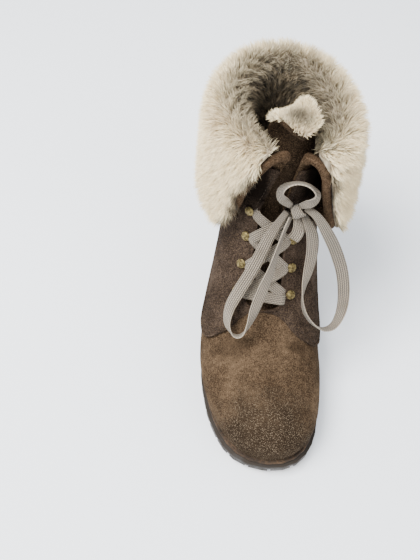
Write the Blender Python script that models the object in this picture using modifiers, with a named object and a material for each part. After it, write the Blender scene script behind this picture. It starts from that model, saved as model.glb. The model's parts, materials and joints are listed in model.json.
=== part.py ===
"""Fur-lined lace-up ankle boot on a stacked heel, for the right foot.

The toe points along -Y, the inner side of the foot is +X and the floor is Z = 0.
The origin is on the floor under the middle of the forefoot tread.
Lengths are in metres. A "place" is a distance behind the tip of the toe.
"""

import math

import bmesh
import bpy
import numpy as np

# Driving dimensions of the last and the shaft
FOOT_LENGTH = 0.234
BALL_WIDTH = 0.088
HEEL_HEIGHT = 0.088
TOE_SPRING = 0.006
INSTEP_HEIGHT = 0.100
FRONT_HEIGHT = 0.150
BACK_HEIGHT = 0.100
SHAFT_LEAN = 0.004
COLLAR_SWING = 0.014
TREAD_PLACE = 0.073
TOE_ROUND = 0.050
TOE_BULGE = 0.030
HEEL_ROUND = 0.030

# Wall, turned-down cuff and pile
WALL = 0.0022
FOLD_RADIUS = 0.0045
CUFF_DEPTH = 0.066
CUFF_FLARE = 0.004
CUFF_SPREAD = 0.033
PILE = 0.0065
PILE_INSIDE_DEPTH = 0.030
LOCK_LENGTH = 0.006
LOCK_RELIEF = 0.0022
CLEARANCE = 0.0003
SEAT_GAP = 0.0006

# Throat, quarters, tongue, studs and laces
THROAT_PLACE = 0.096
THROAT_HALF_GAP = 0.0145
THROAT_TOP_HALF_GAP = 0.0045
QUARTER_THICKNESS = 0.0018
TONGUE_THICKNESS = 0.0050
TONGUE_HALF_WIDTH = 0.026
TONGUE_RISE = 0.030
TONGUE_GAP = 0.0012
TONGUE_OVERLAP = 0.014
PILE_BESIDE_TONGUE = 0.0156
LACE_WIDTH = 0.009
LACE_THICKNESS = 0.0015
LACE_LAP = 0.0020
EYELET_ROWS = 4
EYELET_PITCH = 0.0205
EYELET_START = 0.0165
FIRST_BAR_DROP = 0.005
EYELET_SETBACK = 0.0065
STUD_RADIUS = 0.0032
STUD_HEIGHT = 0.0018

# Bottom: welt, outsole, insole and heel
WELT_THICKNESS = 0.0026
WELT_REACH = 0.0020
WELT_LAP = 0.0050
SOLE_REACH = 0.0040
WAIST_REACH = 0.0012
SOLE_BASE = 0.0050
LUG_DEPTH = 0.0040
WAIST_THICKNESS = 0.0036
SLOT_WIDTH = 0.0024
SLOT_EYE = 0.0046
SIDE_SLOTS = 8
TOE_SLOTS = 8
SLOT_FAN = 0.80
POCKET_RADIUS = 0.0085
POCKET_START = 0.044
POCKET_END = 0.102
FLOWER_COUNT = 5
FLOWER_RADIUS = 0.0062
INSOLE_THICKNESS = 0.0030
INSOLE_GAP = 0.0009
HEEL_BREAST = 0.178
HEEL_BASE_BREAST = 0.194
HEEL_BASE_WIDTH = 0.035
HEEL_BASE_DEPTH = 0.035
TOP_PIECE = 0.0060

FOREPART_HEIGHT = LUG_DEPTH + SOLE_BASE + SEAT_GAP + WELT_THICKNESS

# The sole line from the toe tip to the back of the seat
SOLE_LINE = [
    # place (of FOOT_LENGTH), rise (of the heel's rise), spring (of TOE_SPRING), waist
    (0.000, 0.000, 1.00, 0.0),
    (0.080, 0.000, 0.60, 0.0),
    (0.170, 0.000, 0.22, 0.0),
    (0.260, 0.000, 0.00, 0.0),
    (0.370, 0.000, 0.00, 0.0),
    (0.430, 0.035, 0.00, 0.0),
    (0.500, 0.135, 0.00, 0.7),
    (0.590, 0.335, 0.00, 1.0),
    (0.680, 0.560, 0.00, 1.0),
    (0.770, 0.760, 0.00, 1.0),
    (0.870, 0.900, 0.00, 1.0),
    (1.000, 1.000, 0.00, 1.0),
]

# The feather line in plan, before its ends are rounded
FEATHER = [
    # place (of FOOT_LENGTH), half width and swing to the inner side (of BALL_WIDTH)
    (0.00, 0.430, 0.125),
    (0.10, 0.438, 0.098),
    (0.20, 0.460, 0.057),
    (0.30, 0.488, 0.020),
    (0.40, 0.475, -0.005),
    (0.50, 0.405, -0.015),
    (0.62, 0.320, -0.010),
    (0.75, 0.300, 0.000),
    (0.88, 0.305, 0.000),
    (1.00, 0.308, 0.000),
]

# Sections of the foot: each plane holds a point of the sole line and one of the instep line
FOOT_SECTIONS = [
    # sole place, instep place (of FOOT_LENGTH), instep lift (of INSTEP_HEIGHT),
    # half girth (of BALL_WIDTH), height of the widest point, squareness
    (0.000, 0.000, 0.290, 0.460, 0.30, 0.80),
    (0.100, 0.100, 0.335, 0.475, 0.30, 0.80),
    (0.200, 0.200, 0.385, 0.508, 0.28, 0.86),
    (0.310, 0.306, 0.480, 0.548, 0.25, 0.94),
    (0.410, 0.397, 0.590, 0.540, 0.25, 1.00),
    (0.517, 0.470, 0.690, 0.495, 0.27, 1.02),
    (0.647, 0.526, 0.790, 0.440, 0.32, 1.00),
    (0.797, 0.565, 0.880, 0.402, 0.38, 0.96),
    (0.918, 0.586, 0.970, 0.386, 0.42, 0.94),
    (0.978, 0.597, 1.040, 0.380, 0.45, 0.94),
]

# Sections of the shaft: each plane holds a point of the back seam and one of the front
SHAFT_SECTIONS = [
    # back place (of FOOT_LENGTH), back lift (of BACK_HEIGHT), front place (of FOOT_LENGTH),
    # front lift (of FRONT_HEIGHT), half girth (of BALL_WIDTH), widest point, squareness
    (1.000, 0.000, 0.603, 0.728, 0.378, 0.48, 0.95),
    (1.003, 0.170, 0.607, 0.785, 0.376, 0.49, 0.95),
    (1.002, 0.400, 0.610, 0.850, 0.374, 0.52, 0.95),
    (0.990, 0.690, 0.608, 0.920, 0.374, 0.55, 0.95),
    (0.978, 1.000, 0.601, 1.000, 0.378, 0.56, 0.95),
]

# The turned-down cuff: over the fold, then down to the hem
CUFF_SECTIONS = [
    # turn (of a half turn), hang (of CUFF_DEPTH), flare (of CUFF_FLARE)
    (0.22, 0.00, 0.0),
    (0.50, 0.00, 0.0),
    (0.78, 0.00, 0.0),
    (1.00, 0.04, 0.0),
    (1.00, 0.35, 0.4),
    (1.00, 0.70, 0.8),
    (1.00, 1.00, 1.0),
]

# The quarter's edge in side view: round lobe at the throat, then back along the foot
QUARTER_EDGE = [
    # place (of FOOT_LENGTH), lift above the sole line (of INSTEP_HEIGHT)
    (0.416, 0.72),
    (0.409, 0.64),
    (0.402, 0.595),
    (0.388, 0.56),
    (0.368, 0.515),
    (0.355, 0.46),
    (0.352, 0.40),
    (0.366, 0.355),
    (0.400, 0.32),
    (0.450, 0.30),
    (0.560, 0.28),
    (0.700, 0.24),
    (0.850, 0.20),
    (1.100, 0.20),
]

# The free top of the tongue, bent outwards and to the inner side
TONGUE_TOP = [
    # inwards, back, up (of TONGUE_RISE), half width, cupping (of TONGUE_HALF_WIDTH), turn
    (-0.08, 0.38, -0.16, 0.58, 0.30, 6.0),
    (-0.20, 0.56, 0.38, 0.50, 0.22, 20.0),
    (-0.20, 0.56, 0.72, 0.46, 0.18, 36.0),
    (-0.08, 0.38, 0.90, 0.44, 0.12, 46.0),
    (0.08, 0.12, 0.88, 0.40, 0.06, 50.0),
    (0.18, -0.02, 0.82, 0.24, 0.00, 50.0),
]

# The bow: points of each lace in millimetres, its turn from flat and its share of the width
BOW = {
    "lace_loop_medial": [
        # x, y, z, turn, width
        (19.9, 60.6, 145.5, 20, 0.50),
        (25.5, 56.5, 137.0, 15, 0.85),
        (28.5, 54.0, 128.0, 10, 1.00),
        (30.0, 51.5, 115.0, 15, 1.00),
        (29.5, 45.5, 101.5, 30, 1.00),
        (27.5, 36.5, 93.0, 60, 1.00),
        (27.0, 27.5, 88.0, 85, 1.00),
        (30.0, 20.0, 82.0, 95, 1.00),
        (37.0, 16.0, 73.5, 95, 1.00),
        (46.0, 17.0, 65.0, 85, 1.00),
        (54.0, 22.0, 63.0, 70, 1.00),
        (58.5, 31.0, 69.0, 50, 1.00),
        (59.0, 41.0, 78.5, 30, 1.00),
        (55.0, 49.5, 95.0, 15, 1.00),
        (47.0, 54.0, 115.0, 10, 1.00),
        (38.0, 54.0, 135.0, 10, 0.90),
        (28.5, 57.0, 149.5, 15, 0.65),
        (20.2, 61.4, 152.6, 20, 0.45),
    ],
    "lace_loop_lateral": [
        (11.0, 58.0, 145.2, 60, 0.50),
        (7.5, 50.5, 137.5, 70, 0.90),
        (4.5, 42.5, 126.5, 65, 1.00),
        (1.5, 34.5, 113.5, 50, 1.00),
        (-2.5, 26.0, 101.0, 30, 1.00),
        (-6.5, 17.0, 90.5, 30, 1.00),
        (-10.0, 8.0, 80.5, 60, 1.00),
        (-15.0, 1.5, 74.0, 90, 1.00),
        (-21.5, 2.5, 72.0, 90, 1.00),
        (-26.5, 9.0, 76.0, 65, 1.00),
        (-25.5, 18.5, 83.0, 40, 1.00),
        (-20.0, 27.5, 92.5, 20, 1.00),
        (-13.0, 35.5, 105.0, 10, 1.00),
        (-7.0, 43.5, 118.0, 10, 1.00),
        (-1.5, 51.0, 132.0, 10, 0.85),
        (7.9, 60.8, 147.6, 15, 0.45),
    ],
    "lace_curl": [
        (10.4, 61.2, 153.9, 20, 0.45),
        (4.0, 60.5, 161.0, 50, 0.80),
        (2.5, 61.0, 168.0, 70, 0.90),
        (6.0, 61.0, 174.5, 75, 0.90),
        (12.5, 61.0, 177.5, 75, 0.90),
        (20.0, 59.5, 177.0, 70, 0.90),
        (25.0, 57.5, 172.0, 60, 0.90),
        (23.0, 57.5, 163.5, 45, 0.80),
        (16.6, 60.6, 155.0, 25, 0.45),
    ],
    "lace_end": [
        (15.4, 59.8, 143.6, 10, 0.50),
        (17.5, 55.5, 138.5, 10, 0.95),
        (17.0, 53.0, 134.0, 15, 1.00),
        (14.5, 51.0, 130.0, 15, 1.00),
    ],
}
KNOT_CENTRE = (0.0145, 0.0615, 0.1490)
KNOT_RADII = (0.0050, 0.0040, 0.0052)

FOOT_ROWS = len(FOOT_SECTIONS)
SHAFT_TOP_ROW = FOOT_ROWS + len(SHAFT_SECTIONS) - 1
HEM_ROW = SHAFT_TOP_ROW + len(CUFF_SECTIONS)
FOLD_SECTIONS = 4
HALF_COLUMNS = 10
SKIN_RINGS = 12
SKIN_COLUMNS = 48

MATERIALS = {
    # colour, roughness, metallic
    "suede": ((0.21, 0.135, 0.085), 0.95, 0.0),
    "fur": ((0.62, 0.54, 0.40), 1.0, 0.0),
    "rubber": ((0.33, 0.19, 0.09), 0.55, 0.0),
    "welt": ((0.20, 0.11, 0.06), 0.6, 0.0),
    "heel_leather": ((0.22, 0.13, 0.07), 0.6, 0.0),
    "heel_rubber": ((0.06, 0.06, 0.06), 0.8, 0.0),
    "lace": ((0.50, 0.42, 0.32), 0.9, 0.0),
    "brass": ((0.55, 0.45, 0.22), 0.35, 1.0),
    "insole": ((0.55, 0.47, 0.36), 0.95, 0.0),
}


def clear_scene():
    for obj in list(bpy.data.objects):
        bpy.data.objects.remove(obj, do_unlink=True)


def collection_named(name):
    found = bpy.data.collections.get(name)
    if found is None:
        found = bpy.data.collections.new(name)
        bpy.context.scene.collection.children.link(found)
    return found


def material_named(name):
    found = bpy.data.materials.get(name)
    if found:
        return found
    colour, roughness, metallic = MATERIALS[name]
    made = bpy.data.materials.new(name)
    made.use_nodes = True
    shader = made.node_tree.nodes["Principled BSDF"]
    shader.inputs["Base Color"].default_value = (*colour, 1.0)
    shader.inputs["Roughness"].default_value = roughness
    shader.inputs["Metallic"].default_value = metallic
    return made


def piece(name, bm, material):
    """A sub-part from a bmesh, in the boot's collection."""
    mesh = bpy.data.meshes.new(name)
    bm.to_mesh(mesh)
    bm.free()
    obj = bpy.data.objects.new(name, mesh)
    collection_named("ankle_boot").objects.link(obj)
    mesh.materials.append(material_named(material))
    mesh.shade_smooth()
    mesh.set_sharp_from_angle(angle=math.radians(45))
    return obj


def helper(name, bm, material):
    """A shape that another piece is cut or joined with."""
    bmesh.ops.triangulate(bm, faces=bm.faces)
    obj = piece(name, bm, material)
    collection_named("ankle_boot").objects.unlink(obj)
    collection_named("ankle_boot_cutters").objects.link(obj)
    obj.hide_render = True
    obj.display_type = "WIRE"
    return obj


def combine(obj, other, operation):
    modifier = obj.modifiers.new(other.name, "BOOLEAN")
    modifier.operation = operation
    modifier.object = other
    modifier.solver = "EXACT"
    modifier.use_self = True


def placed(points):
    """From places behind the toe tip to the boot's frame, whose origin is under the tread."""
    return np.asarray(points, float) - np.array([0.0, TREAD_PLACE, 0.0])


def smooth_rows(rows, at):
    """Values of a table at fractional row numbers, on curves that don't overshoot its rows."""
    rows = np.asarray(rows, float)
    at = np.clip(np.asarray(at, float), 0, len(rows) - 1)
    k = np.minimum(at.astype(int), len(rows) - 2)
    t = (at - k).reshape(at.shape + (1,) * (rows.ndim - 1))
    steps = np.diff(rows, axis=0)
    step = steps[k]
    before, after = steps[np.maximum(k - 1, 0)], steps[np.minimum(k + 1, len(steps) - 1)]

    def slope(a, b):
        least = np.minimum(np.abs(a), np.abs(b))
        return np.where(a * b > 0, np.sign(a) * np.minimum(np.abs(a + b) / 2, 2 * least), 0.0)

    bend = (t**3 - 2 * t**2 + t) * slope(before, step) + (t**3 - t**2) * slope(step, after)
    return rows[k] + (3 * t**2 - 2 * t**3) * step + bend


def smooth_lookup(table, value):
    """The other columns of a table at values of its first column, which rises."""
    table = np.asarray(table, float)
    value = np.clip(np.asarray(value, float), table[0, 0], table[-1, 0])
    k = np.clip(np.searchsorted(table[:, 0], value, side="right") - 1, 0, len(table) - 2)
    share = (value - table[k, 0]) / (table[k + 1, 0] - table[k, 0])
    return np.moveaxis(smooth_rows(table[:, 1:], k + share), -1, 0)


def end_round(distance, radius, power):
    """A superellipse's rise from 0 at the end of the foot to 1 at radius from it."""
    share = np.clip(np.asarray(distance, float) / radius, 0, 1)
    return (1 - (1 - share) ** power) ** (1 / power)


def sole_line(place):
    """Height of the feather line, where the upper meets the welt."""
    rise, spring, _ = smooth_lookup(SOLE_LINE, np.asarray(place) / FOOT_LENGTH)
    rise, spring = np.maximum(rise, 0), np.maximum(spring, 0)
    return FOREPART_HEIGHT + rise * (HEEL_HEIGHT - FOREPART_HEIGHT) + spring * TOE_SPRING


def waist_share(place):
    return np.clip(smooth_lookup(SOLE_LINE, np.asarray(place) / FOOT_LENGTH)[2], 0, 1)


def outsole_top(place):
    return sole_line(place) - WELT_THICKNESS - SEAT_GAP


def outsole_bottom(place):
    forepart = SOLE_BASE + LUG_DEPTH
    return outsole_top(place) - forepart - waist_share(place) * (WAIST_THICKNESS - forepart)


def feather(place):
    """(half width, centre) of the feather line."""
    place = np.asarray(place, float)
    half, swing = smooth_lookup(FEATHER, place / FOOT_LENGTH)
    ends = end_round(place, TOE_ROUND, 2.2) * end_round(FOOT_LENGTH - place, HEEL_ROUND, 2.1)
    return half * BALL_WIDTH * ends, swing * BALL_WIDTH


def rim(place, front_reach, back_reach):
    """(place, half width, centre) of an outline that reaches past the feather line."""
    place = np.asarray(place, float)
    share = place / FOOT_LENGTH
    half, centre = feather(place)
    reach = front_reach + (back_reach - front_reach) * waist_share(place)
    ends = end_round(place, 0.2 * TOE_ROUND, 2.0) * end_round(FOOT_LENGTH - place, 0.2 * HEEL_ROUND, 2.0)
    return place - front_reach * (1 - share) + back_reach * share, half + reach * ends, centre


def stations(count):
    """Places from toe to heel that share the outline into equal lengths."""
    places = FOOT_LENGTH * (1 - np.cos(np.linspace(0.02, math.pi - 0.02, 200))) / 2
    steps = np.hypot(np.diff(places), np.diff(feather(places)[0]))
    run = np.concatenate([[0], np.cumsum(steps)])
    return np.interp(np.linspace(0, run[-1], count), run, places)


def lofted(bm, rings, closed=False):
    """Faces between closed rings, with end caps unless the last ring joins the first."""
    verts = [[bm.verts.new(p) for p in ring] for ring in rings]
    count = len(verts[0])
    pairs = list(zip(verts, verts[1:]))
    if closed:
        pairs.append((verts[-1], verts[0]))
    for low, high in pairs:
        for j in range(count):
            k = (j + 1) % count
            bm.faces.new((low[j], low[k], high[k], high[j]))
    if not closed:
        bm.faces.new(verts[0][::-1])
        bm.faces.new(verts[-1])


def outwards(bm):
    """Turn the faces of closed bodies outwards."""
    bmesh.ops.recalc_face_normals(bm, faces=bm.faces)
    if bm.calc_volume(signed=True) < 0:
        bmesh.ops.reverse_faces(bm, faces=bm.faces)
    return bm


def loft_piece(name, rings, material, closed=False):
    bm = bmesh.new()
    lofted(bm, placed(rings), closed)
    bmesh.ops.triangulate(bm, faces=bm.faces)
    return piece(name, outwards(bm), material)


def slab(near, far):
    """A closed bmesh between two grids of points that face each other."""
    bm = bmesh.new()
    rows, columns = near.shape[:2]
    low = [[bm.verts.new(p) for p in line] for line in placed(near)]
    high = [[bm.verts.new(p) for p in line] for line in placed(far)]
    for grid in (low, high):
        for i in range(rows - 1):
            for j in range(columns - 1):
                a, b, c, d = grid[i][j], grid[i + 1][j], grid[i + 1][j + 1], grid[i][j + 1]
                bm.faces.new((a, b, c))
                bm.faces.new((a, c, d))
    edge = [(i, 0) for i in range(rows)] + [(rows - 1, j) for j in range(1, columns)]
    edge += [(i, columns - 1) for i in range(rows - 2, -1, -1)]
    edge += [(0, j) for j in range(columns - 2, 0, -1)]
    for (i, j), (k, m) in zip(edge, edge[1:] + edge[:1]):
        bm.faces.new((low[i][j], low[k][m], high[k][m], high[i][j]))
    return outwards(bm)


def section_values():
    """For each section: low point, high point, girth, form, and how far the cuff stands out."""
    rows = []
    for sole, instep, lift, girth, belly, square in FOOT_SECTIONS:
        rows.append((sole, 0.0, instep, lift * INSTEP_HEIGHT, girth, belly, square, 0.0, 0.0))
    for back, back_lift, front, lift, girth, belly, square in SHAFT_SECTIONS:
        lifts = back_lift * BACK_HEIGHT, lift * FRONT_HEIGHT
        rows.append((back, lifts[0], front, lifts[1], girth, belly, square, 0.0, 0.0))
    top = rows[-1]
    for turn, hang, flare in CUFF_SECTIONS:
        angle = math.pi * turn
        out = FOLD_RADIUS * (1 - math.cos(angle)) + flare * CUFF_FLARE
        up = FOLD_RADIUS * math.sin(angle) - hang * CUFF_DEPTH
        rows.append((*top[:7], out, up))
    return rows


SECTIONS = section_values()


def half_ring(row):
    """Inner-side half of the ring at a row, from the feather or back seam to the front."""
    sole, back_lift, instep, front_lift, girth, belly, square, out, up = smooth_rows(SECTIONS, row)
    place, front = min(sole, 1.0) * FOOT_LENGTH, instep * FOOT_LENGTH
    half, centre = feather(place) if row < FOOT_ROWS else (0.0, 0.0)
    centre = centre - SHAFT_LEAN * min(max(row - FOOT_ROWS / 2, 0.0) / (SHAFT_TOP_ROW - FOOT_ROWS / 2), 1.0)
    roof = float(end_round(front, TOE_BULGE, 2.4))
    low_z = float(sole_line(place)) + max(back_lift, 0.0) + SEAT_GAP + up
    high_z = float(sole_line(front)) + front_lift * roof + SEAT_GAP + up
    low = np.array([0.0, sole * FOOT_LENGTH + out, low_z])
    high = np.array([0.0, front - out, high_z])
    widest = girth * BALL_WIDTH * float(end_round(place, TOE_ROUND, 2.2)) + out
    turn = np.linspace(0, math.pi / 2, SKIN_COLUMNS)
    bottom = half + (widest - half) * np.sin(turn) ** square
    top = widest * np.maximum(np.cos(turn), 0) ** square
    along = np.concatenate([belly * (1 - np.cos(turn)), belly + (1 - belly) * np.sin(turn[1:])])
    ring = low + along[:, None] * (high - low)
    ring[:, 0] = np.concatenate([bottom, top[1:]])
    steps = np.concatenate([[0], np.cumsum(np.linalg.norm(np.diff(ring, axis=0), axis=1))])
    even = np.linspace(0, steps[-1], SKIN_COLUMNS)
    ring = np.stack([np.interp(even, steps, ring[:, i]) for i in range(3)], 1)
    return ring, float(centre), steps[-1]


class Skin:
    """The outer face of the upper as a function of its row, height share and side."""

    def __init__(self):
        self.rows = np.linspace(0, HEM_ROW, HEM_ROW * SKIN_RINGS + 1)
        made = [half_ring(row) for row in self.rows]
        self.rings = np.array([m[0] for m in made])
        self.centres = np.array([m[1] for m in made])
        self.lengths = np.array([m[2] for m in made])

    def girth(self, row):
        """Length of one side of a ring, from the feather or back seam to the front line."""
        return np.maximum(np.interp(row, self.rows, self.lengths), CLEARANCE)

    def point(self, side, row, height):
        row, height = np.broadcast_arrays(np.asarray(row, float), np.asarray(height, float))
        a = np.clip(row, 0, HEM_ROW) * SKIN_RINGS
        b = np.clip(height, 0, 1) * (SKIN_COLUMNS - 1)
        i = np.minimum(a.astype(int), len(self.rows) - 2)
        j = np.minimum(b.astype(int), SKIN_COLUMNS - 2)
        s, t = (a - i)[..., None], (b - j)[..., None]
        low = self.rings[i, j] * (1 - s) + self.rings[i + 1, j] * s
        high = self.rings[i, j + 1] * (1 - s) + self.rings[i + 1, j + 1] * s
        found = low * (1 - t) + high * t
        loose = np.clip((row - FOOT_ROWS + 1) / (SHAFT_TOP_ROW - FOOT_ROWS + 1), 0, 1)
        swing = COLLAR_SWING * loose * np.clip(height, 0, 1) ** 2
        found[..., 0] = np.interp(row, self.rows, self.centres) + side * found[..., 0] + swing
        return found

    def normal(self, side, row, height):
        """Unit normals on the suede side."""
        row, height = np.broadcast_arrays(np.asarray(row, float), np.asarray(height, float))
        step, rise = 0.08, 0.02
        back, ahead = np.clip(row - step, 0, None), np.clip(row + step, None, HEM_ROW)
        under, over = np.clip(height - rise, 0, None), np.clip(height + rise, None, 1)
        along = self.point(side, ahead, height) - self.point(side, back, height)
        across = self.point(side, row, over) - self.point(side, row, under)
        normal = side * np.cross(along, across)
        return normal / np.maximum(np.linalg.norm(normal, axis=-1, keepdims=True), 1e-12)

    def across(self, row, width, lift=0.0):
        """Points by their distance from the front line, positive on the inner side."""
        row, width = np.broadcast_arrays(np.asarray(row, float), np.asarray(width, float))
        height = 1 - np.abs(width) / self.girth(row)
        inner = self.point(1, row, height) + self.normal(1, row, height) * lift
        outer = self.point(-1, row, height) + self.normal(-1, row, height) * lift
        return np.where((width >= 0)[..., None], inner, outer)


SKIN = Skin()


def row_at_instep(place):
    """The row whose front point lies at a place on the instep line."""
    rows = np.linspace(0, SHAFT_TOP_ROW, 400)
    instep = smooth_rows(SECTIONS, rows)[:, 2] * FOOT_LENGTH
    return float(np.interp(place, np.maximum.accumulate(instep), rows))


THROAT_ROW = row_at_instep(THROAT_PLACE)
THROAT_ROWS = np.linspace(THROAT_ROW, SHAFT_TOP_ROW, 200)
THROAT_LINE = SKIN.point(1, THROAT_ROWS, np.ones(200))
THROAT_RUN = np.concatenate([[0], np.cumsum(np.linalg.norm(np.diff(THROAT_LINE, axis=0), axis=1))])


def row_up_throat(run):
    """The row at a distance up the front line from the foot of the throat."""
    return np.interp(run, THROAT_RUN, THROAT_ROWS)


def row_past_collar(distance):
    """The row at a distance over the collar's edge, on the fold."""
    rows = np.linspace(SHAFT_TOP_ROW, SHAFT_TOP_ROW + 1, 50)
    fold = SKIN.point(1, rows, np.ones(50))
    run = np.concatenate([[0], np.cumsum(np.linalg.norm(np.diff(fold, axis=0), axis=1))])
    return float(np.interp(distance, run, rows))


def throat_gap(row):
    """Half width of the throat: round at its foot, and wide again down the cuff's front."""
    row = np.asarray(row, float)
    run = np.interp(row, THROAT_ROWS, THROAT_RUN)
    width = THROAT_HALF_GAP + (THROAT_TOP_HALF_GAP - THROAT_HALF_GAP) * run / THROAT_RUN[-1]
    foot = end_round(run, 0.6 * THROAT_HALF_GAP, 2.0)
    spread = np.clip((row - SHAFT_TOP_ROW) / (HEM_ROW - SHAFT_TOP_ROW), 0, 1) ** 1.35
    return np.where(row <= THROAT_ROW, 0.0, width * foot + spread * CUFF_SPREAD)


def upper_rows():
    """Rows of the wall's mesh: close at the toe tip and at the foot of the throat."""
    toe = [0.0, 0.02, 0.09, 0.22, 0.45, 0.75]
    even = [r / 2 for r in range(2, 2 * SHAFT_TOP_ROW + 1)]
    even = [r for r in even if r == int(r) or r < FOOT_ROWS]
    foot = [THROAT_ROW, *row_up_throat(THROAT_HALF_GAP * np.array([0.12, 0.5]))]
    rows = [r for r in toe + even if min(abs(r - f) for f in foot) > 0.14]
    return np.array(sorted(rows + foot))


def cuff_rows():
    """Rows of the cuff's mesh, from its seam at the collar: close over the fold."""
    fold = [SHAFT_TOP_ROW + r / 2 for r in range(1, 2 * FOLD_SECTIONS)]
    seam = row_past_collar(CLEARANCE)
    return np.array([seam] + fold + list(range(SHAFT_TOP_ROW + FOLD_SECTIONS, HEM_ROW + 1)))


def wall_grid(rows):
    """Row and height numbers of the wall's points on one side."""
    edge = 1 - throat_gap(rows) / SKIN.girth(rows)
    heights = edge[:, None] * np.linspace(0, 1, HALF_COLUMNS + 1)[None, :]
    return np.repeat(rows[:, None], HALF_COLUMNS + 1, 1), heights


def wall_point(side, row, height, lift):
    """Points off the faces of the wall's mesh, which are flat from one column to the next."""
    edge = 1 - throat_gap(row) / SKIN.girth(row)
    column = np.clip(height / edge, 0, 1) * HALF_COLUMNS
    first = np.minimum(column.astype(int), HALF_COLUMNS - 1)
    share = (column - first)[..., None]
    ends = []
    for k in (first, first + 1):
        at = edge * k / HALF_COLUMNS
        ends.append(SKIN.point(side, row, at) + SKIN.normal(side, row, at) * np.asarray(lift)[..., None])
    return ends[0] * (1 - share) + ends[1] * share


def wall_piece(name, rows):
    """A suede wall over rows of the skin, both sides joined at the front and the back."""
    bm = bmesh.new()
    for side in (1, -1):
        grid = placed(SKIN.point(side, *wall_grid(rows)))
        verts = [[bm.verts.new(p) for p in line] for line in grid]
        for low, high in zip(verts, verts[1:]):
            for j in range(HALF_COLUMNS):
                for face in ((low[j], high[j], high[j + 1]), (low[j], high[j + 1], low[j + 1])):
                    bm.faces.new(face[::side])
    bmesh.ops.remove_doubles(bm, verts=bm.verts, dist=2e-5)
    wall = piece(name, bm, "suede").modifiers.new("wall", "SOLIDIFY")
    wall.thickness = WALL
    wall.offset = -1.0
    wall.use_even_offset = True


def make_upper():
    """The hollow upper, and the cuff that is sewn to its collar and turned down."""
    wall_piece("upper", upper_rows())
    wall_piece("cuff", cuff_rows())


def quarter_outline():
    """Side view of the region that a quarter covers."""
    edge = smooth_rows(QUARTER_EDGE, np.linspace(0, len(QUARTER_EDGE) - 1, 34))
    places = edge[:, 0] * FOOT_LENGTH
    heights = sole_line(np.minimum(places, FOOT_LENGTH)) + edge[:, 1] * INSTEP_HEIGHT
    far = HEEL_HEIGHT + BACK_HEIGHT + INSTEP_HEIGHT
    corners = [(1.1 * FOOT_LENGTH, far), (places[0], far)]
    return list(zip(places, heights)) + corners


def make_quarters():
    """A quarter each side, laid over the wall: its own outline cut from a second skin."""
    rows = upper_rows()
    rows = rows[(rows > THROAT_ROW - 2.4) & (rows < SHAFT_TOP_ROW - 0.2)]
    for name, side in (("quarter_medial", 1), ("quarter_lateral", -1)):
        row, height = wall_grid(rows)
        skin, normal = SKIN.point(side, row, height), SKIN.normal(side, row, height)
        outer = skin + normal * (CLEARANCE + QUARTER_THICKNESS)
        quarter = piece(name, slab(skin + normal * CLEARANCE, outer), "suede")
        cutter = bmesh.new()
        low_x, high_x = sorted((-side * CLEARANCE, side * BALL_WIDTH))
        rings = [[(x, y, z) for y, z in quarter_outline()] for x in (low_x, high_x)]
        lofted(cutter, placed(rings))
        combine(quarter, helper(name + "_outline", outwards(cutter), "suede"), "INTERSECT")


def pile_front(row):
    """Where the pile stops beside the throat: behind the tongue inside, at the edge outside."""
    edge = throat_gap(row) + CLEARANCE
    inside = TONGUE_HALF_WIDTH + PILE_BESIDE_TONGUE
    share = np.clip((row - SHAFT_TOP_ROW - 0.8) / 1.0, 0, 1)
    return np.maximum(edge, inside + (edge - inside) * share)


def make_cuff_fur():
    """The pile inside the collar, over the fold and down the cuff, with its locks fused on."""
    inside = float(np.interp(-PILE_INSIDE_DEPTH, THROAT_RUN - THROAT_RUN[-1], THROAT_ROWS))
    first = math.ceil(inside + 0.2)
    even = [r / 2 for r in range(2 * first, 2 * HEM_ROW + 1)]
    rows = np.array([inside] + [r for r in even if r == int(r) or r > SHAFT_TOP_ROW])
    columns = 2 * HALF_COLUMNS - 3
    share = np.linspace(0, 1, columns + 1)
    edge = 1 - pile_front(rows) / SKIN.girth(rows)
    row, height = np.repeat(rows[:, None], columns + 1, 1), edge[:, None] * share[None, :]
    near, far = [], []
    for side in (1, -1):
        depth = WALL + 3 * CLEARANCE
        base = wall_point(side, row, height, -depth)
        lining = -SKIN.normal(side, row, height)
        i, j = np.indices(row.shape)
        lock = (i + j) % 2
        taper = np.where(i == 0, 0.25, 1.0)
        hang = np.gradient(base, axis=0)
        hang /= np.maximum(np.linalg.norm(hang, axis=-1, keepdims=True), 1e-12)
        top = base + lining * ((PILE + LOCK_RELIEF * (lock - 0.5)) * taper)[..., None]
        reach = np.where(i == len(rows) - 1, LOCK_LENGTH * (0.3 + lock), 0.3 * LOCK_LENGTH * lock)
        top = top + hang * np.where(i == 0, 0.0, reach)[..., None]
        near.append(base)
        far.append(top)
    near = np.concatenate([near[0][:, ::-1], near[1][:, 1:]], 1)
    far = np.concatenate([far[0][:, ::-1], far[1][:, 1:]], 1)
    piece("cuff_fur", slab(near, far), "fur")


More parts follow.
